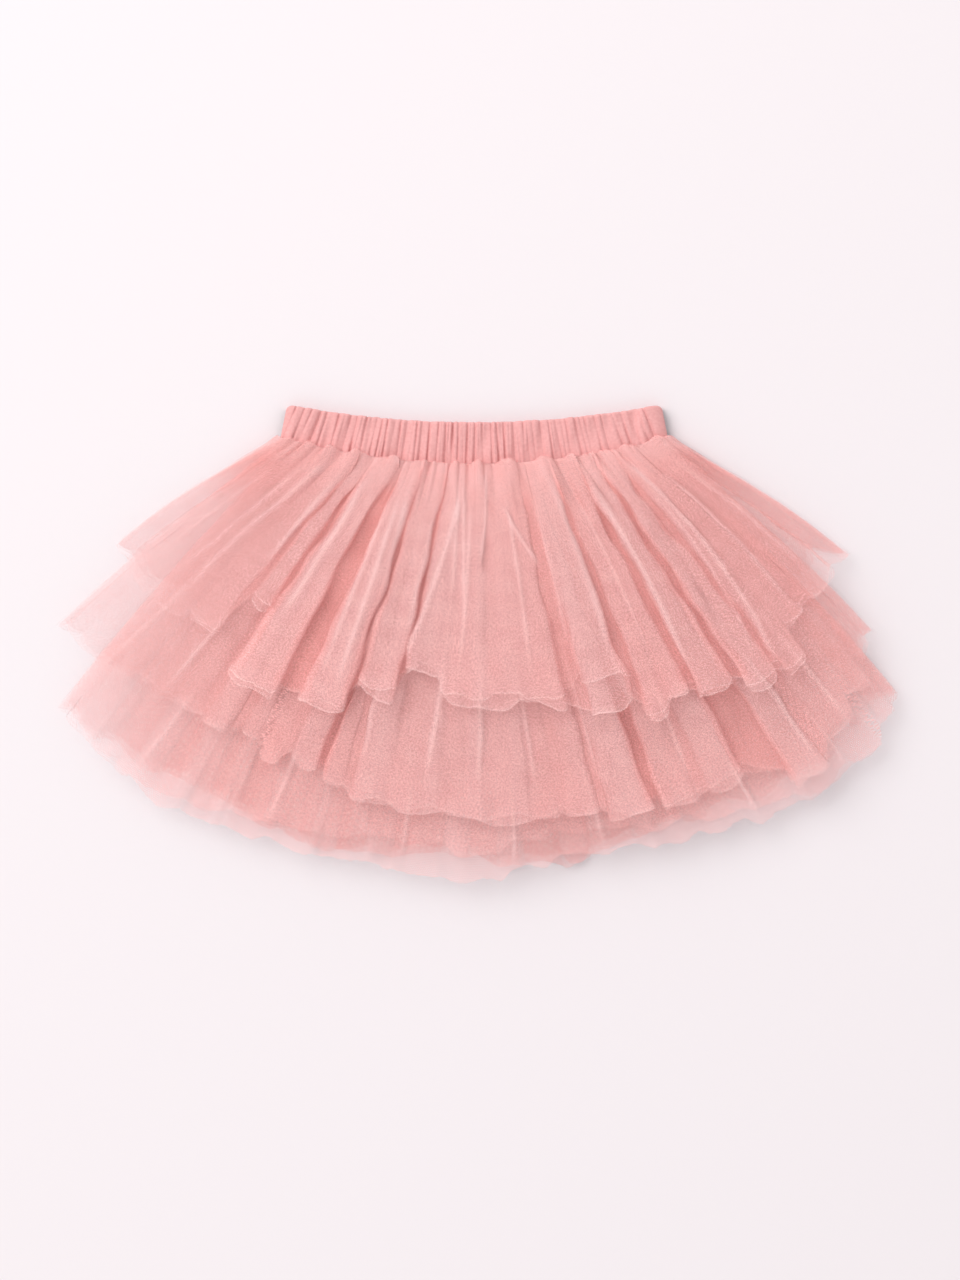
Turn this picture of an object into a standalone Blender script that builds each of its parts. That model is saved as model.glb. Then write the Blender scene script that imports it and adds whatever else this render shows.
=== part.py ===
"""Child's tulle skirt laid flat on its back: a rucked elastic waistband over three gathered tiers.

Each tier is a tube of tulle. Laid flat, its front half lies over its back half, and the top tier
wraps round the middle one, which wraps round the bottom one. Units are metres, +Z is up from the
surface that the skirt lies on, +Y points from the hem to the waist, and the origin is at the middle
of the outline, on that surface.
"""

import math
from collections import namedtuple

import bpy

MM = 0.001

# The folds fan out from one point above the waist. Directions are degrees from straight down (-Y),
# negative to the left, and reaches are millimetres from that point.
FAN_X = -1.7 * MM
FAN_Y = 181.9 * MM

# Waist seam: half its width, how far below the fan point its middle lies, how much its ends rise.
SEAM_HALF = 105.6 * MM
SEAM_DROP = 83.6 * MM
SEAM_RISE = 14.3 * MM
SEAM_CLEAR = 0.95  # millimetres from the seam to the tiers' upper edges
SEAM_CROWD = 0.965  # share of the seam's half width within which the folds start

TULLE = 1.3 * MM  # wall of one tier, which stands for its two layers of net
STACK = 1.7 * MM  # height that each wall takes where all six are sewn together
SPARE = STACK - TULLE  # clearance between neighbouring walls
DOME_SIDE = 56.0  # direction in which the puffed skirt has sunk to a flat stack
SIDE_BOW = 1.1  # degrees by which the side folds bow outwards half-way down

# Side fold: its lap over the back half's wall in clearances, the share of the side that is upright,
# how much the front half is puffed there, and how far in its rounded top reaches.
SIDE_LAP = 1.3
SIDE_UPRIGHT = 0.7
SIDE_LIFT = 0.2
SIDE_ROUND = 0.35

# Waistband: a casing with elastic, flattened to a front and a back wall with a slit between them.
BAND_HALF_TOP = 102.8 * MM
BAND_HALF_SEAM = 106.4 * MM
BAND_HEIGHT = 23.0 * MM
BAND_END_HEIGHT = 19.2 * MM
BAND_WALL = 3.4 * MM
BAND_SLIT = 2.2 * MM
BAND_GAP = 0.3 * MM  # between the two walls at the side folds
BAND_TIP = 1.6 * MM  # thickness of the front wall at the side folds
BAND_END = 6.0 * MM  # length over which the side folds round off
BAND_ROWS = (0.0, 0.5, 0.93)  # heights of the rucked side's rows, as shares of the band's height
BAND_EDGE = 0.25  # half the thickness of the rounded upper edge, as a share of the wall
BAND_ROUND = 0.02  # how much lower the edge's inner corner lies, as a share of the band's height

# Rucks: their number across each wall, how high they puff, how deep the grooves between them are,
# where the two shoulders of a ruck lie in its pitch, and how unevenly the grooves are spread.
RUCKS = 44
RUCK_PUFF = 0.45 * MM
RUCK_GROOVE = 0.75 * MM
RUCK_SHOULDERS = (0.32, 0.68)
RUCK_WANDER = 0.10
RUCK_UNEVEN = 0.25
RUCK_EDGE = 0.8  # how much the upper edge follows the rucks

# Heights of the six walls, one over the other, along a fold through the middle of the dome. A row
# is a distance from the seam, and a column is the height that this tier's folds fill there.
Heights = namedtuple("Heights", "from_seam back_top back_mid back_low front_low front_mid front_top")
HEIGHTS = [
    Heights(0, 1.7, 1.7, 1.7, 1.7, 1.7, 1.7),
    Heights(20, 3.2, 3.5, 3.7, 4.0, 4.2, 4.4),
    Heights(60, 4.4, 5.2, 5.6, 6.4, 7.6, 8.0),
    Heights(100, 5.0, 6.0, 6.6, 7.8, 9.4, 9.8),
    Heights(135, 5.0, 6.2, 7.0, 8.4, 10.0, 10.4),
    Heights(250, 5.0, 6.2, 6.6, 7.2, 9.0, 10.4),
]

# Undersides of the three front walls along the same fold, by distance from the seam.
Undersides = namedtuple("Undersides", "from_seam front_low front_mid front_top")
UNDERSIDES = [
    Undersides(0, 5.1, 6.8, 8.5),
    Undersides(20, 10.7, 15.0, 19.7),
    Undersides(60, 15.3, 21.8, 29.5),
    Undersides(100, 17.8, 25.8, 35.4),
    Undersides(135, 18.6, 27.4, 37.9),
    Undersides(187, 14.2, 23.0, 41.5),
    Undersides(250, 8.5, 19.5, 41.5),
]
LAYERS_BELOW = {"front_low": 3, "front_mid": 4, "front_top": 5}

# Where a back wall comes down to the floor, past the hem of the wall that it lay on.
MID_SINKS = (135, 160)
LOW_SINKS = (187, 207)

# One fold of a tier, at its hem: direction of its crest, half its width, how far its hem reaches
# from the fan point, and the heights of its crest and of the valley to its right, as shares of the
# room that the tier has.
Fold = namedtuple("Fold", "crest half_width reach lift valley")
TOP_FOLDS = [
    Fold(-52.0, 2.7, 236, 0.55, 0.30),
    Fold(-46.2, 2.2, 234, 0.70, 0.30),
    Fold(-41.0, 2.2, 226, 0.90, 0.15),
    Fold(-36.3, 1.7, 196, 1.00, 0.00),
    Fold(-31.2, 2.4, 231, 1.00, 0.00),
    Fold(-20.6, 2.5, 233, 1.00, 0.10),
    Fold(-14.4, 2.8, 214, 0.95, 0.00),
    Fold(-8.2, 2.6, 201, 1.00, 0.60),
    Fold(-2.2, 2.6, 211, 0.85, 0.60),
    Fold(4.0, 2.7, 211, 0.80, 0.55),
    Fold(10.6, 2.9, 216, 0.75, 0.20),
    Fold(19.2, 3.2, 226, 1.00, 0.30),
    Fold(24.9, 1.4, 243, 0.70, 0.40),
    Fold(28.2, 1.2, 241, 0.65, 0.10),
    Fold(32.7, 2.2, 248, 1.00, 0.00),
    Fold(38.0, 2.2, 257, 0.95, 0.20),
    Fold(42.4, 1.5, 262, 0.70, 0.30),
    Fold(46.2, 1.6, 242, 0.65, 0.10),
    Fold(51.9, 2.7, 243, 0.55, 0.10),
]
MID_FOLDS = [
    Fold(-50.6, 2.0, 284, 0.60, 0.30),
    Fold(-45.8, 1.9, 281, 0.80, 0.35),
    Fold(-41.0, 1.8, 271, 0.75, 0.30),
    Fold(-36.4, 2.0, 268, 0.70, 0.35),
    Fold(-31.8, 1.8, 270, 0.90, 0.10),
    Fold(-27.8, 1.2, 263, 0.75, 0.40),
    Fold(-24.6, 1.2, 272, 0.60, 0.35),
    Fold(-20.6, 1.8, 266, 0.90, 0.00),
    Fold(-16.8, 1.2, 270, 0.70, 0.35),
    Fold(-12.2, 2.3, 274, 1.00, 0.05),
    Fold(-7.2, 1.7, 277, 0.85, 0.40),
    Fold(-2.4, 2.2, 277, 0.75, 0.45),
    Fold(3.0, 2.2, 277, 0.80, 0.50),
    Fold(8.0, 1.8, 279, 0.70, 0.40),
    Fold(12.4, 1.7, 283, 0.75, 0.30),
    Fold(17.4, 2.4, 290, 1.00, 0.00),
    Fold(22.8, 2.0, 292, 0.80, 0.35),
    Fold(28.0, 2.2, 291, 0.90, 0.00),
    Fold(36.2, 1.9, 315, 1.00, 0.35),
    Fold(41.4, 1.9, 305, 0.85, 0.30),
    Fold(45.3, 1.4, 296, 0.60, 0.30),
    Fold(48.9, 1.3, 285, 0.50, 0.20),
]
LOW_FOLDS = [
    Fold(-43.6, 1.9, 316, 0.60, 0.30),
    Fold(-38.6, 2.0, 319, 0.70, 0.30),
    Fold(-33.6, 1.9, 321, 0.60, 0.35),
    Fold(-28.8, 1.7, 317, 0.70, 0.25),
    Fold(-24.2, 1.8, 313, 0.60, 0.30),
    Fold(-19.4, 1.7, 311, 0.80, 0.35),
    Fold(-14.8, 1.7, 309, 0.70, 0.20),
    Fold(-10.2, 1.7, 308, 0.70, 0.35),
    Fold(-5.4, 1.7, 310, 0.80, 0.30),
    Fold(0.4, 2.3, 313, 0.90, 0.30),
    Fold(5.8, 1.9, 308, 0.80, 0.35),
    Fold(10.8, 1.8, 304, 0.60, 0.20),
    Fold(15.6, 1.7, 306, 0.80, 0.35),
    Fold(20.6, 2.0, 311, 0.70, 0.25),
    Fold(26.0, 2.0, 316, 0.80, 0.30),
    Fold(31.4, 2.0, 322, 0.70, 0.30),
    Fold(36.6, 1.9, 326, 0.70, 0.35),
    Fold(41.6, 1.8, 327, 0.70, 0.25),
    Fold(45.6, 1.2, 320, 0.50, 0.30),
]

# Unseen back halves: the share of a fold's width that is raised, and the variation from fold to
# fold of its place, its reach in millimetres and its height.
BACK_CREST = 0.42
BACK_WANDER = 0.12
BACK_WAVE = 4.0
BACK_UNEVEN = 0.2

# How the top tier's folds bend: the direction in which a fold leaves the seam, by that of its hem.
Sweep = namedtuple("Sweep", "at_hem at_seam")
TOP_SWEEP = [
    Sweep(-57.0, -57.0),
    Sweep(-30.0, -30.0),
    Sweep(-17.0, -17.8),
    Sweep(-8.0, -5.2),
    Sweep(4.0, 5.0),
    Sweep(19.0, 22.2),
    Sweep(33.0, 37.8),
    Sweep(40.0, 44.4),
    Sweep(47.0, 49.6),
    Sweep(57.0, 57.0),
]
NO_SWEEP = [Sweep(-57.0, -57.0), Sweep(57.0, 57.0)]

# Cross-section of a fold: offsets from the crest in half widths at the seam and at the hem, where
# its foot is tucked in under it, the height as a share of its lift, and how far the hem draws back.
Column = namedtuple("Column", "at_seam at_hem height draw_back")
ROUND_FOLD = [
    Column(-0.98, -0.86, 0.0, 5.0),
    Column(-0.76, -1.00, 0.62, 1.5),
    Column(-0.40, -0.60, 1.0, 0.0),
    Column(0.40, 0.60, 1.0, 0.0),
    Column(0.76, 1.00, 0.62, 1.5),
    Column(0.98, 0.86, 0.0, 5.0),
]
FLAT_FOLD = [
    Column(-1.0, -1.0, 0.0, 3.0),
    Column(-0.6, -0.7, 1.0, 0.0),
    Column(0.6, 0.7, 1.0, 0.0),
    Column(1.0, 1.0, 0.0, 3.0),
]

# One half of a tier: its room in the stack, the directions and reaches of its hem at the two side
# folds, how far its side folds lie inside the ends of the waist seam, and its rows from the seam.
Half = namedtuple("Half", "room left right left_reach right_reach inset section sweep rows")
TOP_FRONT = Half("front_top", -57.0, 57.0, 235, 245, 0.0, ROUND_FOLD, TOP_SWEEP, (20, 60, 100))
TOP_BACK = TOP_FRONT._replace(room="back_top", section=FLAT_FOLD, sweep=NO_SWEEP)
MID_FRONT = Half(
    "front_mid", -53.0, 51.3, 286, 283, 2.7 * MM, ROUND_FOLD, NO_SWEEP, (20, 60, 100, 135)
)
MID_BACK = MID_FRONT._replace(
    room="back_mid", section=FLAT_FOLD, rows=(20, 60, 100, *MID_SINKS)
)
LOW_FRONT = Half(
    "front_low", -46.5, 48.0, 316, 313, 5.4 * MM, FLAT_FOLD, NO_SWEEP, (20, 60, 100, 135, 187)
)
LOW_BACK = LOW_FRONT._replace(room="back_low", rows=(20, 60, 100, *MID_SINKS, *LOW_SINKS))
LAST_ROW = 0.94  # no row lies further along a fold than this, short of its hem
HALVINGS = 16  # steps that find a row's place on a fold

SHARP = math.radians(50)
ROUGHNESS = {"pink_net": 0.85, "pink_cotton": 0.9}
COLOUR = {"pink_net": (0.87, 0.45, 0.43, 1.0), "pink_cotton": (0.82, 0.40, 0.38, 1.0)}


def between(rows, name, where):
    """The named column of a table, read at a distance from the seam in millimetres."""
    for a, b in zip(rows, rows[1:]):
        if where <= b.from_seam or b is rows[-1]:
            share = (where - a.from_seam) / (b.from_seam - a.from_seam)
            return getattr(a, name) + share * (getattr(b, name) - getattr(a, name))


def swept(direction, sweep):
    """The direction at the seam of a fold line whose hem lies in a direction."""
    for a, b in zip(sweep, sweep[1:]):
        if direction <= b.at_hem or b is sweep[-1]:
            share = (direction - a.at_hem) / (b.at_hem - a.at_hem)
            return a.at_seam + share * (b.at_seam - a.at_seam)


def fade(where, span):
    """0 before the span, 1 after it, and straight between."""
    return min(1.0, max(0.0, (where - span[0]) / (span[1] - span[0])))


def dome(direction):
    """How far the skirt is puffed up in a direction, from 1 in the middle to 0 at its sides."""
    return math.sqrt(max(0.0, 1.0 - (direction / DOME_SIDE) ** 2))


def seam_share(direction):
    """Where a line in this direction from the fan point meets the seam, from -1 at its left to 1."""
    slope = math.tan(math.radians(direction))
    if abs(slope) < MM:
        return slope * SEAM_DROP / SEAM_HALF
    root = math.sqrt(SEAM_HALF**2 + 4.0 * SEAM_RISE * SEAM_DROP * slope**2)
    return (root - SEAM_HALF) / (2.0 * SEAM_RISE * slope)


def seam_point(share, inset):
    """A point of the waist seam of a tier whose side folds lie inset from the seam's ends."""
    out = (SEAM_HALF - inset) * share
    return FAN_X + out, FAN_Y - SEAM_DROP + SEAM_RISE * (out / SEAM_HALF) ** 2


def fan_point(direction, reach):
    """The point that lies in a direction from the fan point, at a reach in millimetres."""
    angle = math.radians(direction)
    return FAN_X + math.sin(angle) * reach * MM, FAN_Y - math.cos(angle) * reach * MM


def slab(room, from_seam, direction):
    """(underside, height) in metres of the room that a wall has at a place of the skirt."""
    puff = dome(direction)

    def height(of_room):
        return STACK + (between(HEIGHTS, of_room, from_seam) * MM - STACK) * puff

    if room == "back_top":
        return 0.0, height(room)
    if room == "back_mid":
        return height("back_top") * (1.0 - fade(from_seam, MID_SINKS)), height(room)
    if room == "back_low":
        below = sum(slab("back_mid", from_seam, direction))
        return below * (1.0 - fade(from_seam, LOW_SINKS)), height(room)
    stacked = LAYERS_BELOW[room] * STACK
    rise = between(UNDERSIDES, room, from_seam) * MM - stacked
    return stacked + rise * puff, height(room)


def back_folds(half, count, mid_reach):
    """Evenly spread folds of an unseen back half, with a slow variation of place, reach and lift."""
    folds = []
    width = (half.right - half.left) / count
    for i in range(count):
        crest = half.left + (i + 0.5) * width + BACK_WANDER * width * math.sin(2.3 * i)
        side = (crest / half.right) ** 2
        reach = mid_reach + side * (half.left_reach - mid_reach)
        reach += BACK_WAVE * (math.sin(1.7 * i + 1.0) - 1.0)
        lift = 1.0 - BACK_UNEVEN * (1.0 - math.sin(1.3 * i))
        folds.append(Fold(crest, 0.5 * width * BACK_CREST, reach, lift, 0.0))
    return folds


def fold_lines(half, folds):
    """For each column of each fold: its point on the seam, its point on the hem and its height."""
    lines = []
    for before, fold in zip([folds[-1], *folds], folds):
        for column in half.section:
            foot = before.valley if column.at_hem < 0 else fold.valley
            side = half.left if fold.crest < 0 else half.right
            at_seam = (fold.crest + column.at_seam * fold.half_width) * TOP_FRONT.right / abs(side)
            at_hem = fold.crest + column.at_hem * fold.half_width
            start = seam_point(SEAM_CROWD * seam_share(swept(at_seam, half.sweep)), half.inset)
            end = fan_point(at_hem, fold.reach - column.draw_back * (1.0 - foot))
            lines.append((start, end, foot + column.height * (fold.lift - foot)))
    return lines


def side_lines(half):
    """The lines of the two side folds: points on the seam and on the hem, and no height."""
    left = (seam_point(-1.0, half.inset), fan_point(half.left, half.left_reach), 0.0)
    right = (seam_point(1.0, half.inset), fan_point(half.right, half.right_reach), 0.0)
    return left, right


def where_on_skirt(x, y):
    """(distance from the seam in millimetres, direction) of a plan point."""
    direction = math.degrees(math.atan2(x - FAN_X, FAN_Y - y))
    sx, sy = seam_point(seam_share(max(TOP_FRONT.left, min(TOP_FRONT.right, direction))), 0.0)
    reach = math.hypot(x - FAN_X, y - FAN_Y)
    return max(0.0, (reach - math.hypot(sx - FAN_X, sy - FAN_Y)) / MM), direction


def place(line, from_seam):
    """(x, y, distance from the seam, direction) on a fold line at a distance, None for its hem."""
    (ax, ay), (bx, by), _ = line
    low, high = 0.0, 1.0 if from_seam is None else LAST_ROW
    for _ in range(0 if from_seam is None else HALVINGS):
        share = (low + high) / 2
        if where_on_skirt(ax + share * (bx - ax), ay + share * (by - ay))[0] < from_seam:
            low = share
        else:
            high = share
    x, y = ax + high * (bx - ax), ay + high * (by - ay)
    reached, direction = where_on_skirt(x, y)
    bow = SIDE_BOW * 4.0 * high * (1.0 - high) * (direction / TOP_FRONT.right) ** 3
    x, y = fan_point(direction + bow, math.hypot(x - FAN_X, y - FAN_Y) / MM)
    return x, y, reached, direction


def grid_mesh(name, rows):
    """An open surface of triangles through rows of points, each row with as many points."""
    points = [p for row in rows for p in row]
    wide = len(rows[0])
    faces = []
    for r in range(len(rows) - 1):
        for c in range(wide - 1):
            near, far = r * wide + c, (r + 1) * wide + c
            if math.dist(points[near], points[far + 1]) < math.dist(points[far], points[near + 1]):
                faces += [(near, far, far + 1), (near, far + 1, near + 1)]
            else:
                faces += [(near, far, near + 1), (far, far + 1, near + 1)]
    mesh = bpy.data.meshes.new(name)
    mesh.from_pydata(points, [], faces)
    mesh.validate()
    return mesh


def loft(name, sections):
    """A closed solid through sections of as many points, with a flat cap at each end."""
    count = len(sections[0])
    points = [p for section in sections for p in section]
    faces = []
    for first in range(0, (len(sections) - 1) * count, count):
        for k in range(count):
            after = (k + 1) % count
            faces.append((first + k, first + count + k, first + count + after, first + after))
    faces.append(tuple(range(count)))
    faces.append(tuple(reversed(range(len(points) - count, len(points)))))
    mesh = bpy.data.meshes.new(name)
    mesh.from_pydata(points, [], faces)
    mesh.validate()
    return mesh


def material(name):
    """A plain cloth material."""
    made = bpy.data.materials.new(name)
    made.use_nodes = True
    shader = made.node_tree.nodes["Principled BSDF"]
    shader.inputs["Base Color"].default_value = COLOUR[name]
    shader.inputs["Roughness"].default_value = ROUGHNESS[name]
    shader.inputs["Metallic"].default_value = 0.0
    made.diffuse_color = COLOUR[name]
    return made


def add_object(collection, name, mesh, cloth):
    """Links a mesh as one named piece of the skirt, smooth except at its sharp creases."""
    mesh.shade_smooth()
    mesh.set_sharp_from_angle(angle=SHARP)
    piece = bpy.data.objects.new(name, mesh)
    piece.data.materials.append(cloth)
    collection.objects.link(piece)
    return piece


def thicken(piece, offset):
    """Gives an open surface the tulle's wall: offset 0 to both sides, 1 to its upper side only."""
    wall = piece.modifiers.new("wall", "SOLIDIFY")
    wall.thickness = TULLE
    wall.offset = offset
    wall.use_quality_normals = True
    return piece


def side_fold(edge, inside, front, back):
    """Three points that carry a front half round its side and down onto its back half."""
    x, y, reached, direction = edge
    under, height = slab(front.room, reached, direction)
    foot = slab(back.room, reached, direction)[0] + TULLE + SIDE_LAP * SPARE
    top = under + (TULLE + SPARE) / 2 + SIDE_LIFT * (height - STACK)
    return [
        (x, y, foot),
        (x, y, foot + SIDE_UPRIGHT * (top - foot)),
        (x + SIDE_ROUND * (inside[0] - x), y + SIDE_ROUND * (inside[1] - y), top),
    ]


def front_half(collection, name, front, back, folds, cloth):
    """The front half of a tier, with its side folds turned down to meet the back half."""
    left, right = side_lines(front)
    rows = []
    for from_seam in (SEAM_CLEAR, *front.rows, None):
        row = []
        for line in fold_lines(front, folds):
            x, y, reached, direction = place(line, from_seam)
            under, height = slab(front.room, reached, direction)
            row.append((x, y, under + (TULLE + SPARE) / 2 + line[2] * (height - STACK)))
        row[:0] = side_fold(place(left, from_seam), row[0], front, back)
        row += reversed(side_fold(place(right, from_seam), row[-1], front, back))
        rows.append(row)
    return thicken(add_object(collection, name, grid_mesh(name, rows), cloth), 0.0)


def back_half(collection, name, back, folds, cloth):
    """The back half of a tier, flat wherever it meets the surface that the skirt lies on."""
    left, right = side_lines(back)
    rows = []
    for from_seam in (SEAM_CLEAR, *back.rows, None):
        row = []
        for line in [left, *fold_lines(back, folds), right]:
            x, y, reached, direction = place(line, from_seam)
            under, height = slab(back.room, reached, direction)
            row.append((x, y, under + line[2] * (height - STACK)))
        rows.append(row)
    return thicken(add_object(collection, name, grid_mesh(name, rows), cloth), 1.0)


def band_point(share, up):
    """Plan point of the waistband: share across it, and up from 0 at the seam to 1 at its top."""
    half = BAND_HALF_SEAM + up * (BAND_HALF_TOP - BAND_HALF_SEAM)
    tall = BAND_HEIGHT + (BAND_END_HEIGHT - BAND_HEIGHT) * share * share
    seam = FAN_Y - SEAM_DROP + SEAM_RISE * (half * share / SEAM_HALF) ** 2
    return FAN_X + half * share, seam + up * tall


def band_columns():
    """(share across, relief) of each column: a narrow groove and the two shoulders of a puff."""
    columns = []
    pitch = 2.0 / RUCKS
    for i in range(RUCKS):
        groove = -1.0 + i * pitch
        if i:
            groove += RUCK_WANDER * pitch * math.sin(2.1 * i + 0.4 * math.sin(i))
        depth = 1.0 - RUCK_UNEVEN * (1.0 - math.sin(3.7 * i + 1.0))
        columns.append((groove, -RUCK_GROOVE * depth))
        columns.append((groove + RUCK_SHOULDERS[0] * pitch, RUCK_PUFF))
        columns.append((groove + RUCK_SHOULDERS[1] * pitch, RUCK_PUFF * depth))
    columns.append((1.0, -RUCK_GROOVE))
    return columns


def band_section(share, relief, inner, outer):
    """Points round a wall of the waistband: up its outer side, over its upper edge, and back."""
    middle = (inner + outer) / 2
    lip = 1.0 + RUCK_EDGE * relief / BAND_HEIGHT
    section = [(*band_point(share, up), outer) for up in BAND_ROWS]
    section.append((*band_point(share, lip), middle + BAND_EDGE * (outer - inner)))
    section.append((*band_point(share, lip - BAND_ROUND), middle - BAND_EDGE * (outer - inner)))
    section.append((*band_point(share, 0.0), inner))
    return section


def band_front(collection, name, cloth):
    """The rucked front wall, which closes down to the back wall at the side folds."""
    meet = BAND_WALL + BAND_GAP
    slit_top = BAND_WALL + BAND_SLIT
    sections = []
    for share, relief in band_columns():
        from_end = min(1.0, (1.0 - abs(share)) * BAND_HALF_SEAM / BAND_END)
        rounded = math.sqrt(1.0 - (1.0 - from_end) ** 2)
        inner = meet + (slit_top - meet) * rounded
        full = slit_top + BAND_WALL + relief
        outer = meet + BAND_TIP + (full - meet - BAND_TIP) * rounded
        sections.append(band_section(share, relief, inner, outer))
    return add_object(collection, name, loft(name, sections), cloth)


def band_back(collection, name, cloth):
    """The back wall, flat where it lies on the surface below, with the rucks on its upper edge."""
    sections = [band_section(s, relief, BAND_WALL, 0.0)[::-1] for s, relief in band_columns()]
    return add_object(collection, name, loft(name, sections), cloth)


def main():
    for old in list(bpy.data.objects):
        bpy.data.objects.remove(old, do_unlink=True)
    skirt = bpy.data.collections.new("tulle_skirt")
    bpy.context.scene.collection.children.link(skirt)
    net = material("pink_net")
    cotton = material("pink_cotton")

    band_front(skirt, "waistband_front", cotton)
    band_back(skirt, "waistband_back", cotton)
    front_half(skirt, "top_tier_front", TOP_FRONT, TOP_BACK, TOP_FOLDS, net)
    front_half(skirt, "middle_tier_front", MID_FRONT, MID_BACK, MID_FOLDS, net)
    front_half(skirt, "bottom_tier_front", LOW_FRONT, LOW_BACK, LOW_FOLDS, net)
    back_half(skirt, "top_tier_back", TOP_BACK, back_folds(TOP_BACK, 12, 210), net)
    back_half(skirt, "middle_tier_back", MID_BACK, back_folds(MID_BACK, 13, 266), net)
    back_half(skirt, "bottom_tier_back", LOW_BACK, back_folds(LOW_BACK, 14, 309), net)


main()
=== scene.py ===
"""Looks of a child's pink tulle skirt laid flat: net tiers of two plies each and a rucked cotton
waistband, photographed from straight above on a white table.

The net is single-surface cloth whose weave is its material. Sizes are millimetres until a mesh is
made, +Z is up from the table, +Y points from the hem to the waist, and the middle of the outline is
at the origin. Directions are degrees from straight down (-Y) about the point that the folds fan out
from, and reaches are millimetres from that point.
"""

from collections import namedtuple

import bpy
import numpy as np
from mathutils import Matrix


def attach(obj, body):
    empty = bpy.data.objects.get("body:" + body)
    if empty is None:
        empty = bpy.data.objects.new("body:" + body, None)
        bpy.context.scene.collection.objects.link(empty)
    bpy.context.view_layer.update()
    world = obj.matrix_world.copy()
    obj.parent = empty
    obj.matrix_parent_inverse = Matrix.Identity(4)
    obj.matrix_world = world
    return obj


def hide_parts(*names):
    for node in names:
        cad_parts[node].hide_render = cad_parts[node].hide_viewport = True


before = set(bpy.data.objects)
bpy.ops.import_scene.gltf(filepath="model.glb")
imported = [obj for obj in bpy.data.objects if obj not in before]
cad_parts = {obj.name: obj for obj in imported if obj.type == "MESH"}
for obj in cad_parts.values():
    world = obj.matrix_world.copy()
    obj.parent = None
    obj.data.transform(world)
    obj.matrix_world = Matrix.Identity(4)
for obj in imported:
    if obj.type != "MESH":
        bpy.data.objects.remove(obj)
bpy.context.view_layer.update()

MM = 0.001

# The point that the folds fan out from.
FAN_X = -1.7
FAN_Y = 181.9

# Waist seam: half its width, how far below the fan point its middle lies, how much its ends rise.
SEAM_HALF = 105.6
SEAM_DROP = 83.6
SEAM_RISE = 14.3
SEAM_CROWD = 0.965
SEAM_START = 0.25  # from the seam to the net's upper edge

SIDE = 57.0  # direction of the top tier's side folds
DOME_SIDE = 56.0  # direction in which the puffed skirt has sunk to a flat stack
SIDE_BOW = 1.1  # degrees by which the side folds bow outwards half-way down
STACK = 1.7  # height that each tier's wall takes where all six are sewn together
WALL = 1.3  # wall of the solid that stands for one tier's two plies
PLY = 0.42  # from the middle of that wall to each ply

# Heights of the six walls, one over the other, along a fold through the middle of the dome. A row
# is a distance from the seam, and a column is the height that this tier's folds fill there.
Heights = namedtuple("Heights", "from_seam back_top back_mid back_low front_low front_mid front_top")
HEIGHTS = [
    Heights(0, 1.7, 1.7, 1.7, 1.7, 1.7, 1.7),
    Heights(20, 3.2, 3.5, 3.7, 4.0, 4.2, 4.4),
    Heights(60, 4.4, 5.2, 5.6, 6.4, 7.6, 8.0),
    Heights(100, 5.0, 6.0, 6.6, 7.8, 9.4, 9.8),
    Heights(135, 5.0, 6.2, 7.0, 8.4, 10.0, 10.4),
    Heights(250, 5.0, 6.2, 6.6, 7.2, 9.0, 10.4),
]

# Undersides of the three front walls along the same fold, by distance from the seam.
Undersides = namedtuple("Undersides", "from_seam front_low front_mid front_top")
UNDERSIDES = [
    Undersides(0, 5.1, 6.8, 8.5),
    Undersides(20, 10.7, 15.0, 19.7),
    Undersides(60, 15.3, 21.8, 29.5),
    Undersides(100, 17.8, 25.8, 35.4),
    Undersides(135, 18.6, 27.4, 37.9),
    Undersides(187, 14.2, 23.0, 41.5),
    Undersides(250, 8.5, 19.5, 41.5),
]
LAYERS_BELOW = {"front_low": 3, "front_mid": 4, "front_top": 5}

# Where a back wall comes down to the floor, past the hem of the wall that it lay on.
MID_SINKS = (135, 160)
LOW_SINKS = (187, 207)

# One fold of a tier, at its hem: direction of its crest, half its width, how far its hem reaches,
# and the heights of its crest and of the valley to its right, as shares of the tier's room.
Fold = namedtuple("Fold", "crest half_width reach lift valley")
TOP_FOLDS = [
    Fold(-52.0, 2.7, 236, 0.55, 0.60),
    Fold(-46.2, 2.2, 234, 0.70, 0.70),
    Fold(-41.0, 2.2, 226, 0.90, 0.30),
    Fold(-36.3, 1.7, 196, 1.00, 0.00),
    Fold(-30.8, 3.2, 237, 1.00, 0.00),
    Fold(-21.2, 3.0, 233, 1.00, 0.10),
    Fold(-14.4, 2.8, 214, 0.95, 0.10),
    Fold(-8.2, 2.6, 201, 1.00, 0.92),
    Fold(-2.2, 2.6, 211, 0.85, 0.96),
    Fold(4.0, 2.7, 211, 0.80, 0.85),
    Fold(10.6, 2.9, 216, 0.75, 0.30),
    Fold(19.2, 3.2, 226, 1.00, 0.20),
    Fold(24.9, 1.4, 243, 0.70, 0.55),
    Fold(28.2, 1.2, 241, 0.65, 0.10),
    Fold(32.7, 2.2, 248, 1.00, 0.00),
    Fold(38.0, 2.2, 257, 0.95, 0.20),
    Fold(42.4, 1.5, 262, 0.70, 0.60),
    Fold(46.2, 1.6, 242, 0.65, 0.40),
    Fold(51.9, 2.7, 243, 0.55, 0.30),
]
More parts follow.
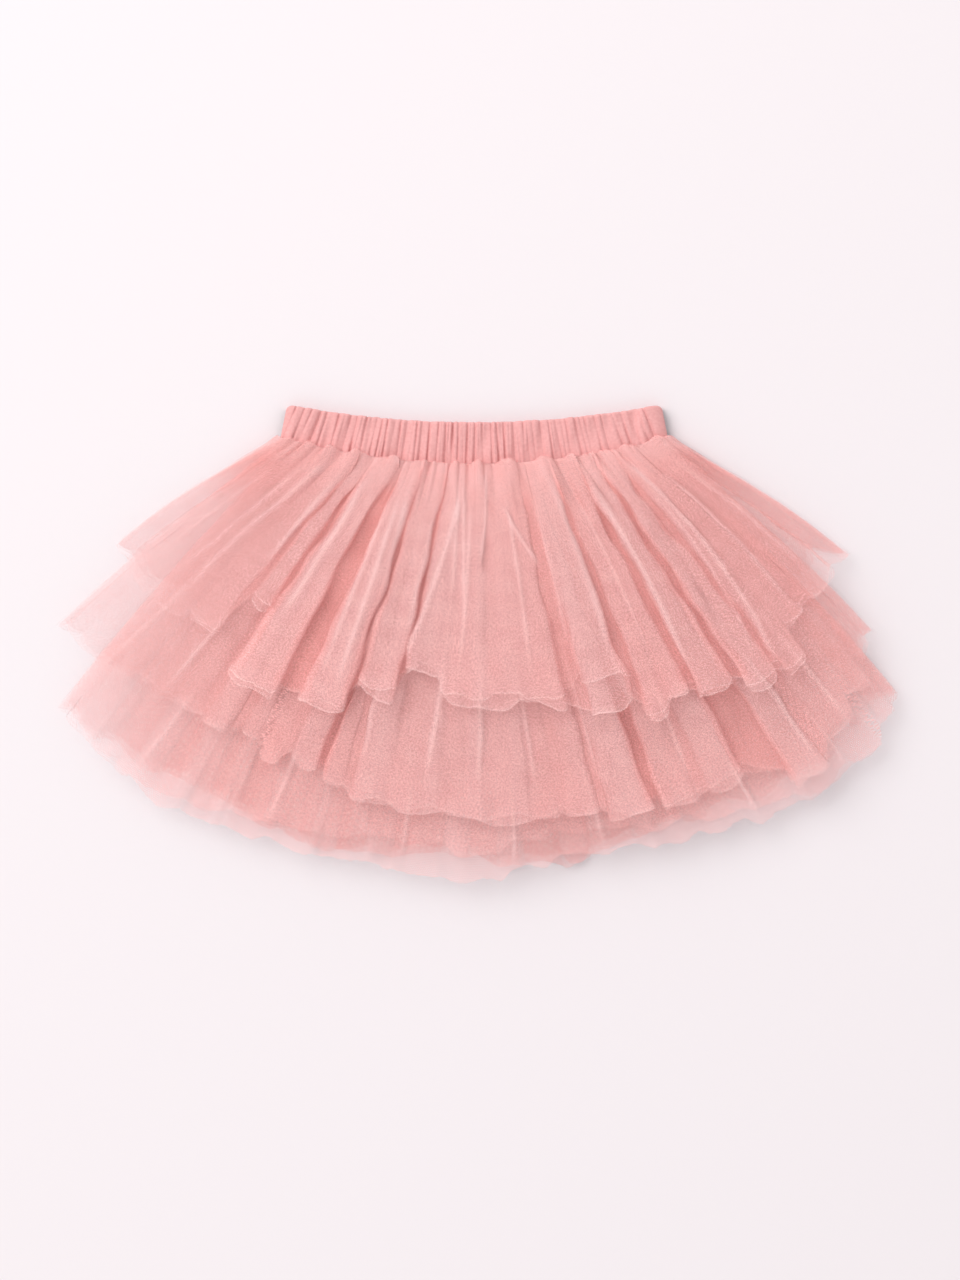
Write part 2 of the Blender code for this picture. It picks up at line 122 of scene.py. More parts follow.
MID_FOLDS = [
    Fold(-50.6, 2.0, 284, 0.60, 0.90),
    Fold(-45.8, 1.9, 281, 0.80, 0.70),
    Fold(-41.0, 1.8, 271, 0.75, 0.90),
    Fold(-36.4, 2.0, 268, 0.70, 0.52),
    Fold(-31.8, 1.8, 270, 0.90, 0.50),
    Fold(-27.8, 1.2, 263, 0.75, 0.56),
    Fold(-24.6, 1.2, 272, 0.60, 0.52),
    Fold(-20.6, 1.8, 266, 0.90, 0.10),
    Fold(-16.8, 1.2, 270, 0.70, 0.52),
    Fold(-12.2, 2.3, 274, 1.00, 0.80),
    Fold(-7.2, 1.7, 277, 0.85, 0.96),
    Fold(-2.4, 2.2, 277, 0.75, 0.97),
    Fold(3.0, 2.2, 277, 0.80, 0.96),
    Fold(8.0, 1.8, 279, 0.70, 0.60),
    Fold(12.4, 1.7, 283, 0.75, 0.47),
    Fold(17.4, 2.4, 290, 1.00, 0.10),
    Fold(22.8, 2.0, 292, 0.80, 0.52),
    Fold(28.0, 2.2, 291, 0.90, 0.10),
    Fold(36.2, 1.9, 315, 1.00, 0.52),
    Fold(41.4, 1.9, 305, 0.85, 0.70),
    Fold(45.3, 1.4, 296, 0.60, 0.90),
    Fold(48.9, 1.3, 285, 0.50, 0.38),
]
LOW_FOLDS = [
    Fold(-43.6, 1.9, 316, 0.60, 0.95),
    Fold(-38.6, 2.0, 319, 0.70, 0.68),
    Fold(-33.6, 1.9, 321, 0.60, 0.95),
    Fold(-28.8, 1.7, 317, 0.70, 0.95),
    Fold(-24.2, 1.8, 313, 0.60, 0.68),
    Fold(-19.4, 1.7, 311, 0.80, 0.95),
    Fold(-14.8, 1.7, 309, 0.70, 0.95),
    Fold(-10.2, 1.7, 308, 0.70, 0.68),
    Fold(-5.4, 1.7, 310, 0.80, 0.95),
    Fold(0.4, 2.3, 313, 0.90, 0.95),
    Fold(5.8, 1.9, 308, 0.80, 0.68),
    Fold(10.8, 1.8, 304, 0.60, 0.95),
    Fold(15.6, 1.7, 306, 0.80, 0.95),
    Fold(20.6, 2.0, 311, 0.70, 0.68),
    Fold(26.0, 2.0, 316, 0.80, 0.95),
    Fold(31.4, 2.0, 322, 0.70, 0.95),
    Fold(36.6, 1.9, 326, 0.70, 0.68),
    Fold(41.6, 1.8, 327, 0.70, 0.95),
    Fold(45.6, 1.2, 320, 0.50, 0.50),
]

# How the top tier's folds bend: the direction in which a fold leaves the seam, by that of its hem.
Sweep = namedtuple("Sweep", "at_hem at_seam")
TOP_SWEEP = [
    Sweep(-57.0, -57.0),
    Sweep(-30.0, -30.0),
    Sweep(-17.0, -17.8),
    Sweep(-8.0, -5.2),
    Sweep(4.0, 5.0),
    Sweep(19.0, 22.2),
    Sweep(33.0, 37.8),
    Sweep(40.0, 44.4),
    Sweep(47.0, 49.6),
    Sweep(57.0, 57.0),
]
NO_SWEEP = [Sweep(-57.0, -57.0), Sweep(57.0, 57.0)]

# Side fold: its lap over the back half's wall, how upright it stands, how much the front half is
# puffed there, and how far in its rounded top reaches.
SIDE_LAP = 0.5
SIDE_SLOPE = 0.3
SIDE_LIFT = 0.2
SIDE_ROUND = 0.35
SIDE_CALM = 14.0  # length next to a side fold over which creases fade

# Unseen back halves: a crest's width as a share of its fold, how unevenly the folds lie, reach and
# stand, at which pitches each of the three varies, and the least that their creases stand out.
BACK_CREST = 0.42
BACK_WANDER = 0.12
BACK_WAVE = 4.0
BACK_UNEVEN = 0.2
BACK_PITCHES = (2.3, 1.7, 1.3)
BACK_CLEAR = 0.1

# Folds: the height that a full one counts for when points are spread along it, how soon a deeper
# one gets its overhanging sides and the height of its foot from which it has none, and how far the
# long folds sway sideways, in degrees.
FOLD_HEIGHT = 9.0
UNDERCUT = 1.6
UNDERCUT_FOOT = 0.62
LIFT_SHARE = 0.98
EDGE_FROM = 0.9  # share of a fold's half width beyond which its line is a folded edge
LEAST_SLANT = 0.05  # direction that stands for straight down where a slope is divided by
SWAY = 0.15
SWAY_PITCHES = (0.16, 0.27)
SWAY_DRIFT = 1.5
SWAY_SIDE = 60.0  # direction at which nothing sways

# The mesh of a ply: least step between fold lines, samples of their curve for each point, how the
# rows crowd at the waist, the last rows from the cut edge, the least height over the table, and what
# its half's seed is raised by for its random waves, its sway and its creases at the waist.
CHORD_LEAST = 0.6
FINE = 8
ROW_CROWD = 1.35
HEM_ROWS = (2.4, 1.0, 0.45)
FLOOR_CLEAR = 0.25
PLY_SEED = 100
SWAY_SEED = 7
WAIST_CREASE_SEED = 50

# Gathers below the waistband: height, distance over which they rise, length, how round they are,
# their spacing and its unevenness, and the smaller ones between them.
GATHER_HEIGHT = 4.2
GATHER_RISE = 4.5
GATHER_LENGTH = 26.0
GATHER_ROUND = 0.8
GATHER_PITCH = 0.235
GATHER_WANDER = 0.9
GATHER_WANDER_PITCH = 0.083
GATHER_WANDER_START = 1.0
GATHER_UNEVEN = 0.3
GATHER_UNEVEN_PITCH = 1.7
SMALL_GATHER = 0.2
SMALL_GATHER_PITCH = 2.6
SMALL_GATHER_START = 0.7
GATHER_SLACK = 1.25  # length of the net's gathered edge over that of the seam
ROW_PUFF = 4.0  # how far the gathers push up over the waistband's lower edge
ROW_RISE = 2.5
ROW_LENGTH = 6.0

# Unevenness of the net: height, wavelength and the distance from the seam over which it sets in, how
# many waves such a field is the sum of, and how widely their lengths differ.
SOFT_WAVE = 0.6
SOFT_WAVE_LENGTH = 34.0
SOFT_WAVE_FROM = 30.0
FINE_WAVE = 0.08
FINE_WAVE_LENGTH = 9.0
FINE_WAVE_FROM = 15.0
FINE_WAVE_STRETCH = 0.35
FINE_WAVE_COUNT = 24
WAVE_COUNT = 14
WAVE_SPREAD = (0.7, 1.5)

# Hems: how much they ripple up and down, and how raggedly and how far they swing in and out.
HEM_RIPPLE = 0.7
HEM_RIPPLE_LENGTH = 15.0
HEM_RIPPLE_STRETCH = 0.1
HEM_RIPPLE_REACH = 9.0
HEM_RAGGED = 0.2
HEM_RAGGED_LENGTH = 5.0
HEM_SWAY = 1.2
HEM_SWAY_LENGTH = 28.0

# Net: pitch of its weave in radians for a millimetre, how sharp and how dense its threads are, its
# loose thread ends as a speckle, and how it is turned in each tier and ply, in degrees.
CLOTH_SCALE = 0.01
NET_PITCH = 6.5
NET_SHARP = 0.7
NET_COVER = -0.4
NET_LEAST = 0.03
NET_MOST = 0.95
NET_ROUGHNESS = 0.9
NET_TURN = {"top": 4.0, "mid": -7.0, "low": 11.0}
NET_PLY_TURN = 17.0
SPECKLE = 0.8
SPECKLE_TINT = 0.45
SPECKLE_SCALE = 95.0
PATCHY = 0.025
PATCH_LENGTH = 13.0
SOFTENED = 0.5  # how far a wall is shaded like level net, as its loose threads scatter the light

# Where the net looks denser: at the waist, in a tier, and along ridges, folded edges and cut hems, which
# also get a painted highlight.
WAIST_MORE = 0.45
GATHERED = 30.0
DENSER = {"top": 0.0, "mid": 0.0, "low": 0.07}
TUCK_MORE = 0.4
TUCK_LINE = 0.6
TUCK_WIDTH = 0.55
FOLD_LINE = {"top": 0.25, "mid": 0.12, "low": 0.0}
HEM_LINE = {"top": 1.0, "mid": 0.6, "low": 0.0}
EDGE_WIDTH = 0.6

# Where it looks thinner: everywhere, towards the sides, at the rims, on the side of the light, on
# steep walls and towards the hem. A span is the direction where it starts, and over how much it does.
MID_LESS = 0.05
SIDE_LESS = 0.36
SIDE_SPAN = (24.0, 24.0)
SIDE_DOWN = 60.0
RIM_LESS = 0.1
RIM_SPAN = (42.0, 12.0)
LIT_SIDE_LESS = 0.14
LIT_SPAN = (26.0, 24.0)
STEEP_LESS = {"top": 0.4, "mid": 0.4, "low": 0.45}
HEM_FADE = {"top": 0.06, "mid": 0.1, "low": 0.1}
HEM_FADING = 16.0

# Colours, how pale the net is, and how much deeper its pink is at the waist and, as painted shade, in a
# fold's valley. The palest pink is a painted highlight along hems, folded edges and ridges.
HIGHLIGHT_PINK = (1.0, 0.72, 0.70, 1.0)
PALE_PINK = (0.985, 0.595, 0.58, 1.0)
DEEP_PINK = (0.97, 0.41, 0.38, 1.0)
COTTON_PALE = (0.78, 0.40, 0.39, 1.0)
COTTON_DEEP = (0.70, 0.33, 0.32, 1.0)
TABLE_WHITE = (0.79, 0.745, 0.765, 1.0)
PALENESS = 0.325
PALE_AT = 0.6  # place of its middle colour on the ramp from deep pink to the painted highlight's pink
# How much paler the net is painted along hems, folded edges and ridges: a painted highlight.
HIGHLIGHT_PALER = 0.5
WAIST_DEEP = 0.12
# How much deeper the pink is painted in a fold's valley: painted shade.
VALLEY_SHADE = 0.4
SUNK_FROM = 25.0  # distance from the seam over which a valley's painted shade deepens its pink

# Cotton jersey: ribs and rows in radians for a millimetre, how much the knit and the uneven yarn
# show in its relief and its colour, and its sheen.
COTTON_RIBS = 9.0
COTTON_ROWS = 7.0
KNIT_RELIEF = 0.25
KNIT_TINT = 0.12
SLUB_SCALE = 60.0
SLUB_DETAIL = 4.0
BUMP_STRENGTH = 0.25
BUMP_DISTANCE = 0.3
COTTON_TINTS = (0.3, 0.7)  # places of its deep and its pale colour on their ramp
COTTON_ROUGHNESS = 0.82
COTTON_SPECULAR = 0.3
COTTON_SHEEN = 0.25
SHEEN_ROUGHNESS = 0.4

# Waistband: half its width at its upper edge and at the seam, its height in the middle and at its
# ends, its wall, the slit inside it, the gap between its halves, its thin ends and their length.
BAND_HALF_TOP = 102.8
BAND_HALF_SEAM = 106.4
BAND_HEIGHT = 23.0
BAND_END_HEIGHT = 19.2
BAND_WALL = 3.4
BAND_SLIT = 2.2
BAND_GAP = 0.3
BAND_TIP = 1.6
BAND_END = 6.0
BAND_CORNER = 4.0
BAND_ACROSS = 700
BAND_ROWS = 12
LIP_ROWS = 6
LIP_FROM = 0.93  # share of the band's height where its upper edge starts to round over
LIP_START = 0.2

# Rucks: depth of a full groove and height of a full puff, how far a groove at the band's end leans,
# how much the grooves notch the upper edge, the span of the unseen ones, and how uneven they are.
FRONT_RUCK_SEED = 1
BACK_RUCK_SEED = 2
RUCK_DEPTH = 2.0
RUCK_PUFF = 1.0
RUCK_LEAN = 5.0
RUCK_SLANT = 0.8
RUCK_LIP = 0.02
RUCK_LIP_FROM = 0.2
RUCK_SPAN = 104.0
RUCK_WANDER = 1.3
RUCK_DEPTHS = (0.55, 1.0)
RUCK_WIDTHS = (0.55, 0.95)
RUCK_SHARP = 1.4
RUCK_FADES = (0.0, 0.7)
RUCK_FADE_LENGTH = 0.4
SMALL_WANDER = 0.8
SMALL_DEPTHS = (0.0, 0.5)
SMALL_FADES = (0.0, 1.0)
SWELL = 0.35
SWELL_LENGTH = 9.0
SWELL_STRETCH = 0.25

# Grooves of the waistband's front that the photo shows, from its middle, at its half height.
RUCKS_AT = [
    -103.0, -98.0, -94.2, -88.7, -84.8, -77.7, -71.1, -67.2, -61.8, -56.2, -53.0, -49.7, -42.0,
    -38.6, -32.6, -29.9, -25.5, -20.5, -16.1, -12.3, -9.0, -4.0, 0.4, 4.8, 9.8, 13.1, 16.9, 22.4,
    27.9, 33.4, 37.8, 42.8, 47.2, 52.7, 58.2, 63.7, 69.2, 73.0, 80.2, 84.6, 89.5, 93.9, 97.8,
]

# Light, table and camera, in metres but for the camera's height and the photo's scale.
KEY_ENERGY = 128.0
WINDOW_PLACE = (-2.2, 2.0, 3.0)
WINDOW_SIZE = 3.2
WINDOW_COLOUR = (1.0, 0.98, 0.97)
SKY = 0.785
SKY_COLOUR = (1.0, 0.985, 0.99, 1.0)
TABLE_REACH = 1.6
TABLE_ROUGHNESS = 0.9
CAMERA_HEIGHT = 5000.0
CAMERA_OVER = (0.00145, 0.0015)
CAMERA_SEES = 20.0  # the distance up to which it sees
SENSOR = 36.0
PHOTO_HEIGHT = 1280
PHOTO_SCALE = 0.55

# How much further than its folds' table a ply's hem reaches, by direction, for the upper and for the
# lower ply of a half. A half that isn't listed has a level hem.
Drop = namedtuple("Drop", "direction drop")
LEVEL_HEM = [Drop(-57, 0), Drop(57, 0)]
UPPER_DROP = {
    "front_top": [
        Drop(-57, 0), Drop(14, 0), Drop(16.5, -13), Drop(21.5, -12), Drop(23.2, 0), Drop(57, 0),
    ],
    "front_low": [
        Drop(-57, -4), Drop(-40, -2), Drop(-24, -9), Drop(0, -15),
        Drop(24, -9), Drop(40, -2), Drop(57, -4),
    ],
}
LOWER_DROP = {
    "front_top": [
        Drop(-57, -2), Drop(-30, 4), Drop(-20, -3), Drop(-13, 8), Drop(-8, -4), Drop(-3, 4), Drop(3, 9),
        Drop(9, 2), Drop(14, 9), Drop(22, 5), Drop(30, -3), Drop(40, 4), Drop(57, 0),
    ],
    "front_mid": [
        Drop(-57, -3), Drop(-40, 3), Drop(-27, -4), Drop(-14, 3), Drop(-5, -3),
        Drop(4, 5), Drop(15, -2), Drop(28, 5), Drop(42, -3), Drop(57, 0),
    ],
    "back_top": [Drop(-57, -2), Drop(57, -2)],
    "back_mid": [Drop(-57, -3), Drop(57, -2)],
    "back_low": [Drop(-57, -4), Drop(57, -3)],
}

# One long crease: the directions of its two ends, the distances from the seam where it starts and
# ends, half its width, its height (a trough's is below 0), how many degrees it bows sideways, and
# the share of its length over which each end fades.
Crease = namedtuple("Crease", "at_start at_end start end half_width height bend fade")

# Creases strewn over a half: how many, the span in which they start, the ranges of their lengths,
# half widths and heights. Every half has fine ones, and the top tier's front has more at its waist.
Strewn = namedtuple("Strewn", "count start_span lengths half_widths heights")
FINE_CREASES = Strewn(26, 60, (30, 110), (1.6, 3.2), (0.1, 0.35))
WAIST_CREASES = Strewn(36, 3, (14, 42), (1.0, 1.8), (0.3, 0.8))
SEEN_FROM = {"front_mid": 95, "front_low": 150}  # where a tier comes out from under the one above
CREASE_MARGIN = 2.0
CREASE_DRIFT = 0.9
CREASE_BOW = 0.3
CREASE_FADE = 0.35
TROUGHS = 0.35  # share of them that are troughs

# Cross-section of a fold: offsets from the crest in half widths at the seam and at the hem, the
# height as a share of its lift, and how far the hem draws back where its edge is tucked in.
Column = namedtuple("Column", "at_seam at_hem height draw_back")
ROUND_FOLD = [
    Column(-0.98, -0.64, 0.0, 6.0),
    Column(-0.90, -0.98, 0.26, 4.0),
    Column(-0.78, -1.05, 0.58, 2.0),
    Column(-0.58, -0.84, 0.92, 0.6),
    Column(-0.20, -0.30, 1.0, 0.0),
    Column(0.20, 0.30, 1.0, 0.0),
    Column(0.58, 0.84, 0.92, 0.6),
    Column(0.78, 1.05, 0.58, 2.0),
    Column(0.90, 0.98, 0.26, 4.0),
    Column(0.98, 0.64, 0.0, 6.0),
]
FLAT_FOLD = [
    Column(-1.0, -1.0, 0.0, 3.0),
    Column(-0.8, -0.85, 0.55, 1.5),
    Column(-0.35, -0.4, 1.0, 0.0),
    Column(0.35, 0.4, 1.0, 0.0),
    Column(0.8, 0.85, 0.55, 1.5),
    Column(1.0, 1.0, 0.0, 3.0),
]

# One half of a tier: its room in the stack, the directions and reaches of its hem at the two side
# folds, how far its side folds lie inside the ends of the waist seam, how many points it has across
# and down, and the seed of its fine creases.
Half = namedtuple("Half", "room left right left_reach right_reach inset section sweep across down seed")
TOP_FRONT = Half("front_top", -57.0, 57.0, 235, 245, 0.0, ROUND_FOLD, TOP_SWEEP, 640, 58, 11)
MID_FRONT = Half("front_mid", -53.0, 51.3, 286, 283, 2.7, ROUND_FOLD, NO_SWEEP, 660, 60, 12)
LOW_FRONT = Half("front_low", -46.5, 48.0, 316, 313, 5.4, ROUND_FOLD, NO_SWEEP, 640, 60, 13)
TOP_BACK = TOP_FRONT._replace(room="back_top", section=FLAT_FOLD, sweep=NO_SWEEP, across=400, down=40)
MID_BACK = MID_FRONT._replace(room="back_mid", section=FLAT_FOLD, across=400, down=40)
LOW_BACK = LOW_FRONT._replace(room="back_low", section=FLAT_FOLD, across=400, down=40)

# The creases that show most.
TOP_CREASES = [
    Crease(-43.2, -45.6, 3, 118, 3.0, 1.3, -1.2, 0.15),
    Crease(-47.5, -49.0, 5, 120, 2.4, 0.9, 0.5, 0.3),
    Crease(-51.5, -52.5, 8, 128, 2.0, 0.8, 0.3, 0.3),
    Crease(-38.5, -39.0, 10, 85, 2.2, 1.0, -0.6, 0.3),
    Crease(-35.0, -34.0, 12, 70, 1.8, -0.9, 0.4, 0.3),
    Crease(-32.4, -32.0, 6, 110, 2.6, 1.0, 0.5, 0.25),
    Crease(-27.4, -26.6, 2, 142, 4.0, -1.4, 1.6, 0.15),
    Crease(-24.0, -22.6, 6, 140, 2.0, 0.8, 0.2, 0.3),
    Crease(-21.8, -20.2, 10, 138, 2.2, 1.1, 0.4, 0.25),
    Crease(-20.0, -17.5, 12, 124, 2.6, 1.2, 0.5, 0.2),
    Crease(-14.8, -14.0, 5, 120, 2.4, -0.9, 0.5, 0.3),
    Crease(-10.5, -11.8, 8, 112, 2.2, 1.0, -0.4, 0.3),
    Crease(-4.3, -11.3, 16, 114, 2.4, 1.6, -0.4, 0.15),
    Crease(-5.2, -4.8, 6, 80, 1.6, 0.8, 0.3, 0.3),
    Crease(-3.8, -2.2, 5, 82, 1.6, 1.0, 0.2, 0.25),
    Crease(-1.2, -2.6, 15, 120, 1.7, 0.9, 0.2, 0.3),
    Crease(4.2, 1.2, 3, 58, 1.5, 1.1, 0.2, 0.2),
    Crease(3.3, 2.7, 34, 62, 3.2, -1.8, 0.0, 0.3),
    Crease(7.4, 14.6, 22, 62, 1.5, 1.2, 0.6, 0.2),
    Crease(9.4, 8.6, 8, 122, 1.8, 0.9, 0.6, 0.3),
    Crease(14.5, 13.0, 6, 30, 4.0, -2.0, 0.0, 0.35),
    Crease(17.5, 15.6, 6, 110, 2.0, 1.1, 0.3, 0.25),
    Crease(23.5, 21.2, 6, 118, 2.6, 1.0, 0.5, 0.25),
    Crease(28.6, 26.0, 10, 136, 1.8, 0.8, 0.4, 0.3),
    Crease(34.0, 30.2, 8, 146, 2.2, 1.1, 0.5, 0.25),
    Crease(37.2, 33.4, 12, 140, 1.8, -0.8, 0.4, 0.3),
    Crease(42.6, 35.5, 14, 156, 2.6, -2.2, 0.6, 0.12),
    Crease(45.5, 40.3, 4, 158, 2.4, 1.3, 0.9, 0.12),
    Crease(44.4, 38.4, 20, 150, 1.6, 0.8, 0.8, 0.3),
    Crease(48.8, 46.8, 20, 130, 2.2, 1.2, 0.4, 0.2),
    Crease(52.6, 51.4, 8, 125, 2.0, 0.8, 0.3, 0.3),
]
MID_CREASES = [
    Crease(-46.0, -46.6, 95, 182, 2.4, 1.0, 0.4, 0.3),
    Crease(-38.6, -39.4, 90, 172, 2.0, 1.0, 0.2, 0.3),
    Crease(-30.0, -30.0, 95, 150, 4.0, -1.4, 0.0, 0.3),
    Crease(-26.4, -26.0, 110, 165, 1.8, 0.9, 0.2, 0.3),
    Crease(-17.4, -17.6, 120, 166, 3.6, -1.6, 0.0, 0.3),
    Crease(-14.4, -14.2, 110, 176, 1.8, 1.0, 0.2, 0.3),
    Crease(-9.2, -9.6, 110, 160, 3.2, -1.6, 0.0, 0.3),
    Crease(-4.8, -6.0, 95, 176, 2.0, 1.0, 0.2, 0.3),
    Crease(1.0, 0.4, 100, 178, 2.2, 0.8, 0.2, 0.3),
    Crease(6.4, 7.4, 100, 182, 2.0, 0.9, 0.2, 0.3),
    Crease(14.6, 14.8, 95, 186, 2.2, 1.0, 0.3, 0.3),
    Crease(20.4, 20.3, 120, 182, 3.4, -1.6, 0.0, 0.3),
    Crease(25.0, 24.6, 130, 194, 2.0, 1.0, 0.2, 0.3),
    Crease(33.6, 32.0, 140, 204, 3.2, -1.8, 0.0, 0.3),
    Crease(37.8, 37.2, 130, 214, 2.0, 1.2, 0.2, 0.25),
    Crease(42.8, 42.2, 120, 206, 2.0, 0.9, 0.2, 0.3),
]
LOW_CREASES = [
    Crease(-36.2, -36.6, 150, 222, 2.2, 0.9, 0.2, 0.3),
    Crease(-22.0, -22.2, 160, 220, 2.2, 1.0, 0.2, 0.3),
    Crease(-7.6, -7.8, 165, 226, 2.0, 1.0, 0.2, 0.3),
    Crease(4.2, 4.0, 165, 230, 2.2, 1.0, 0.2, 0.3),
    Crease(13.2, 13.6, 160, 222, 2.0, 0.9, 0.2, 0.3),
    Crease(28.8, 29.4, 165, 230, 2.2, 1.0, 0.2, 0.3),
    Crease(39.4, 39.2, 170, 232, 2.0, 0.9, 0.2, 0.3),
]


def curve(xs, ys, at):
    """A smooth curve through (xs, ys) that doesn't overshoot them, read at `at`."""
    xs, ys, at = np.asarray(xs, float), np.asarray(ys, float), np.asarray(at, float)
    steps = np.diff(xs)
    rises = np.diff(ys) / steps
    slopes = np.zeros_like(ys)
    same = rises[:-1] * rises[1:] > 0
    a, b = 2 * steps[1:] + steps[:-1], steps[1:] + 2 * steps[:-1]
    with np.errstate(divide="ignore", invalid="ignore"):
        mean = (a + b) / (a / rises[:-1] + b / rises[1:])
    slopes[1:-1][same] = mean[same]
    slopes[0], slopes[-1] = rises[0], rises[-1]
    k = np.clip(np.searchsorted(xs, at, side="right") - 1, 0, len(steps) - 1)
    h = steps[k]
    t = np.clip((at - xs[k]) / h, 0.0, 1.0)
    held = ys[k] * (1 + 2 * t) * (1 - t) ** 2 + ys[k + 1] * t * t * (3 - 2 * t)
    return held + h * t * (1 - t) * (slopes[k] * (1 - t) - slopes[k + 1] * t)


def read(rows, name, from_seam):
    """The named column of a table, by distance from the seam."""
    return curve([r.from_seam for r in rows], [getattr(r, name) for r in rows], from_seam)


def ease(x):
    """0 below 0, 1 above 1, and smooth between."""
    x = np.clip(x, 0.0, 1.0)
    return x * x * (3 - 2 * x)


def beyond(x, span):
    """0 up to where a span starts, 1 from its end, and smooth between."""
    start, over = span
    return ease((x - start) / over)


def bump(x, width):
    """1 at 0, and smoothly less at either side of it."""
    return np.exp(-((x / width) ** 2))


def dome(direction):
    """How far the skirt is puffed up in a direction, from 1 in the middle to 0 at its sides."""
    return np.sqrt(np.clip(1.0 - (direction / DOME_SIDE) ** 2, 0.0, 1.0))


def seam_share(direction):
    """Where a line in this direction from the fan point meets the seam, from -1 at its left to 1."""
    slope = np.tan(np.radians(np.where(np.abs(direction) < LEAST_SLANT, LEAST_SLANT, direction)))
    root = np.sqrt(SEAM_HALF**2 + 4.0 * SEAM_RISE * SEAM_DROP * slope**2)
    return (root - SEAM_HALF) / (2.0 * SEAM_RISE * slope)


def seam_point(share, inset):
    """A point of the waist seam of a tier whose side folds lie inset from the seam's ends."""
    out = (SEAM_HALF - inset) * share
    return FAN_X + out, FAN_Y - SEAM_DROP + SEAM_RISE * (out / SEAM_HALF) ** 2


def fan_point(direction, reach):
    """The point that lies in a direction from the fan point, at a reach."""
    angle = np.radians(direction)
    return FAN_X + np.sin(angle) * reach, FAN_Y - np.cos(angle) * reach


def seam_reach(direction):
    """How far the waist seam is from the fan point, in a direction."""
    x, y = seam_point(seam_share(np.clip(direction, -SIDE, SIDE)), 0.0)
    return np.hypot(x - FAN_X, y - FAN_Y)


def slab(room, from_seam, direction):
    """(underside, height) of the room that a wall has at a place of the skirt."""
    puff = dome(direction)

    def height(of_room):
        return STACK + (read(HEIGHTS, of_room, from_seam) - STACK) * puff

    def sunk(span):
        return 1.0 - ease((from_seam - span[0]) / (span[1] - span[0]))

    if room == "back_top":
        return 0.0 * puff, height(room)
    if room == "back_mid":
        return height("back_top") * sunk(MID_SINKS), height(room)
    if room == "back_low":
        return sum(slab("back_mid", from_seam, direction)) * sunk(LOW_SINKS), height(room)
    stacked = LAYERS_BELOW[room] * STACK
    return stacked + (read(UNDERSIDES, room, from_seam) - stacked) * puff, height(room)


def back_folds(half, count, mid_reach):
    """Evenly spread folds of an unseen back half, with a slow variation of place, reach and lift."""
    folds = []
    width = (half.right - half.left) / count
    at_crest, at_reach, at_lift = BACK_PITCHES
    for i in range(count):
        crest = half.left + (i + 0.5) * width + BACK_WANDER * width * np.sin(at_crest * i)
        side = (crest / half.right) ** 2
        reach = mid_reach + side * (half.left_reach - mid_reach)
        reach += BACK_WAVE * (np.sin(at_reach * i + 1.0) - 1.0)
        lift = 1.0 - BACK_UNEVEN * (1.0 - np.sin(at_lift * i))
        folds.append(Fold(crest, 0.5 * width * BACK_CREST, reach, lift, 0.0))
    return folds


# A fold line: the share of the seam where it starts, the direction and reach of its end at the hem,
# its height as a share of the tier's room, how far it has turned down round a side fold, and how
# much of a folded edge it is.
Line = namedtuple("Line", "start hem reach lift turned edge")


def fold_lines(half, folds, front):
    """The fold lines of one half, from its left side fold to its right one."""
    lines = []
    for before, fold in zip([folds[-1], *folds], folds):
        side = half.left if fold.crest < 0 else half.right
        for column in half.section:
            foot = before.valley if column.at_hem < 0 else fold.valley
            at_seam = (fold.crest + column.at_seam * fold.half_width) * SIDE / abs(side)
            swept = curve([s.at_hem for s in half.sweep], [s.at_seam for s in half.sweep], at_seam)
            start = SEAM_CROWD * float(seam_share(swept))
            undercut = min(1.0, max(0.0, UNDERCUT * (UNDERCUT_FOOT - foot)))
            at_hem = column.at_seam + (column.at_hem - column.at_seam) * undercut
            hem = fold.crest + at_hem * fold.half_width
            reach = fold.reach - column.draw_back * (1.0 - foot)
            edge = float(abs(column.at_hem) > EDGE_FROM) * (fold.lift - foot)
            lines.append(Line(start, hem, reach, foot + column.height * (fold.lift - foot), 0.0, edge))
    left = Line(-1.0, half.left, half.left_reach, 0.0, 1.0, 1.0)
    right = Line(1.0, half.right, half.right_reach, 0.0, 1.0, 1.0)
    if not front:
        return [left._replace(turned=0.0), *lines, right._replace(turned=0.0)]

    def shoulder(edge, inside):
        mixed = [e + SIDE_ROUND * (i - e) for e, i in zip(edge, inside)]
        return Line(*mixed)._replace(lift=SIDE_LIFT, turned=0.0)

    return [
        left,
        left._replace(turned=SIDE_SLOPE),
        shoulder(left, lines[0]),
        *lines,
        shoulder(right, lines[-1]),
        right._replace(turned=SIDE_SLOPE),
        right,
    ]


def steps_along(lines):
    """The distance from each fold line of a table to the next, along the cloth of the hem."""
    across = np.radians(lines[:, 1]) * lines[:, 2]
    ups = (lines[:, 3] - lines[:, 4]) * FOLD_HEIGHT
    return np.hypot(np.diff(across), np.diff(ups))


def spread(lines, count):
    """As many fold lines as asked, evenly along the hem, on a smooth curve through the given ones."""
    table = np.array(lines)
    columns = range(table.shape[1])
    at = np.concatenate([[0.0], np.cumsum(steps_along(table) + CHORD_LEAST)])
    fine = np.linspace(0.0, at[-1], count * FINE)
    dense = np.stack([curve(at, table[:, k], fine) for k in columns], axis=1)
    length = np.concatenate([[0.0], np.cumsum(steps_along(dense))])
    even = np.interp(np.linspace(0.0, length[-1], count), length, fine)
    picked = np.stack([curve(at, table[:, k], even) for k in columns], axis=1)
    return picked, np.linspace(0.0, length[-1], count)


def normals_of(points):
    """Unit normals, upwards, of a grid of points."""
    down = np.gradient(points, axis=0)
    across = np.gradient(points, axis=1)
    n = np.cross(across, down)
    n /= np.linalg.norm(n, axis=2, keepdims=True) + 1e-12
    return -n


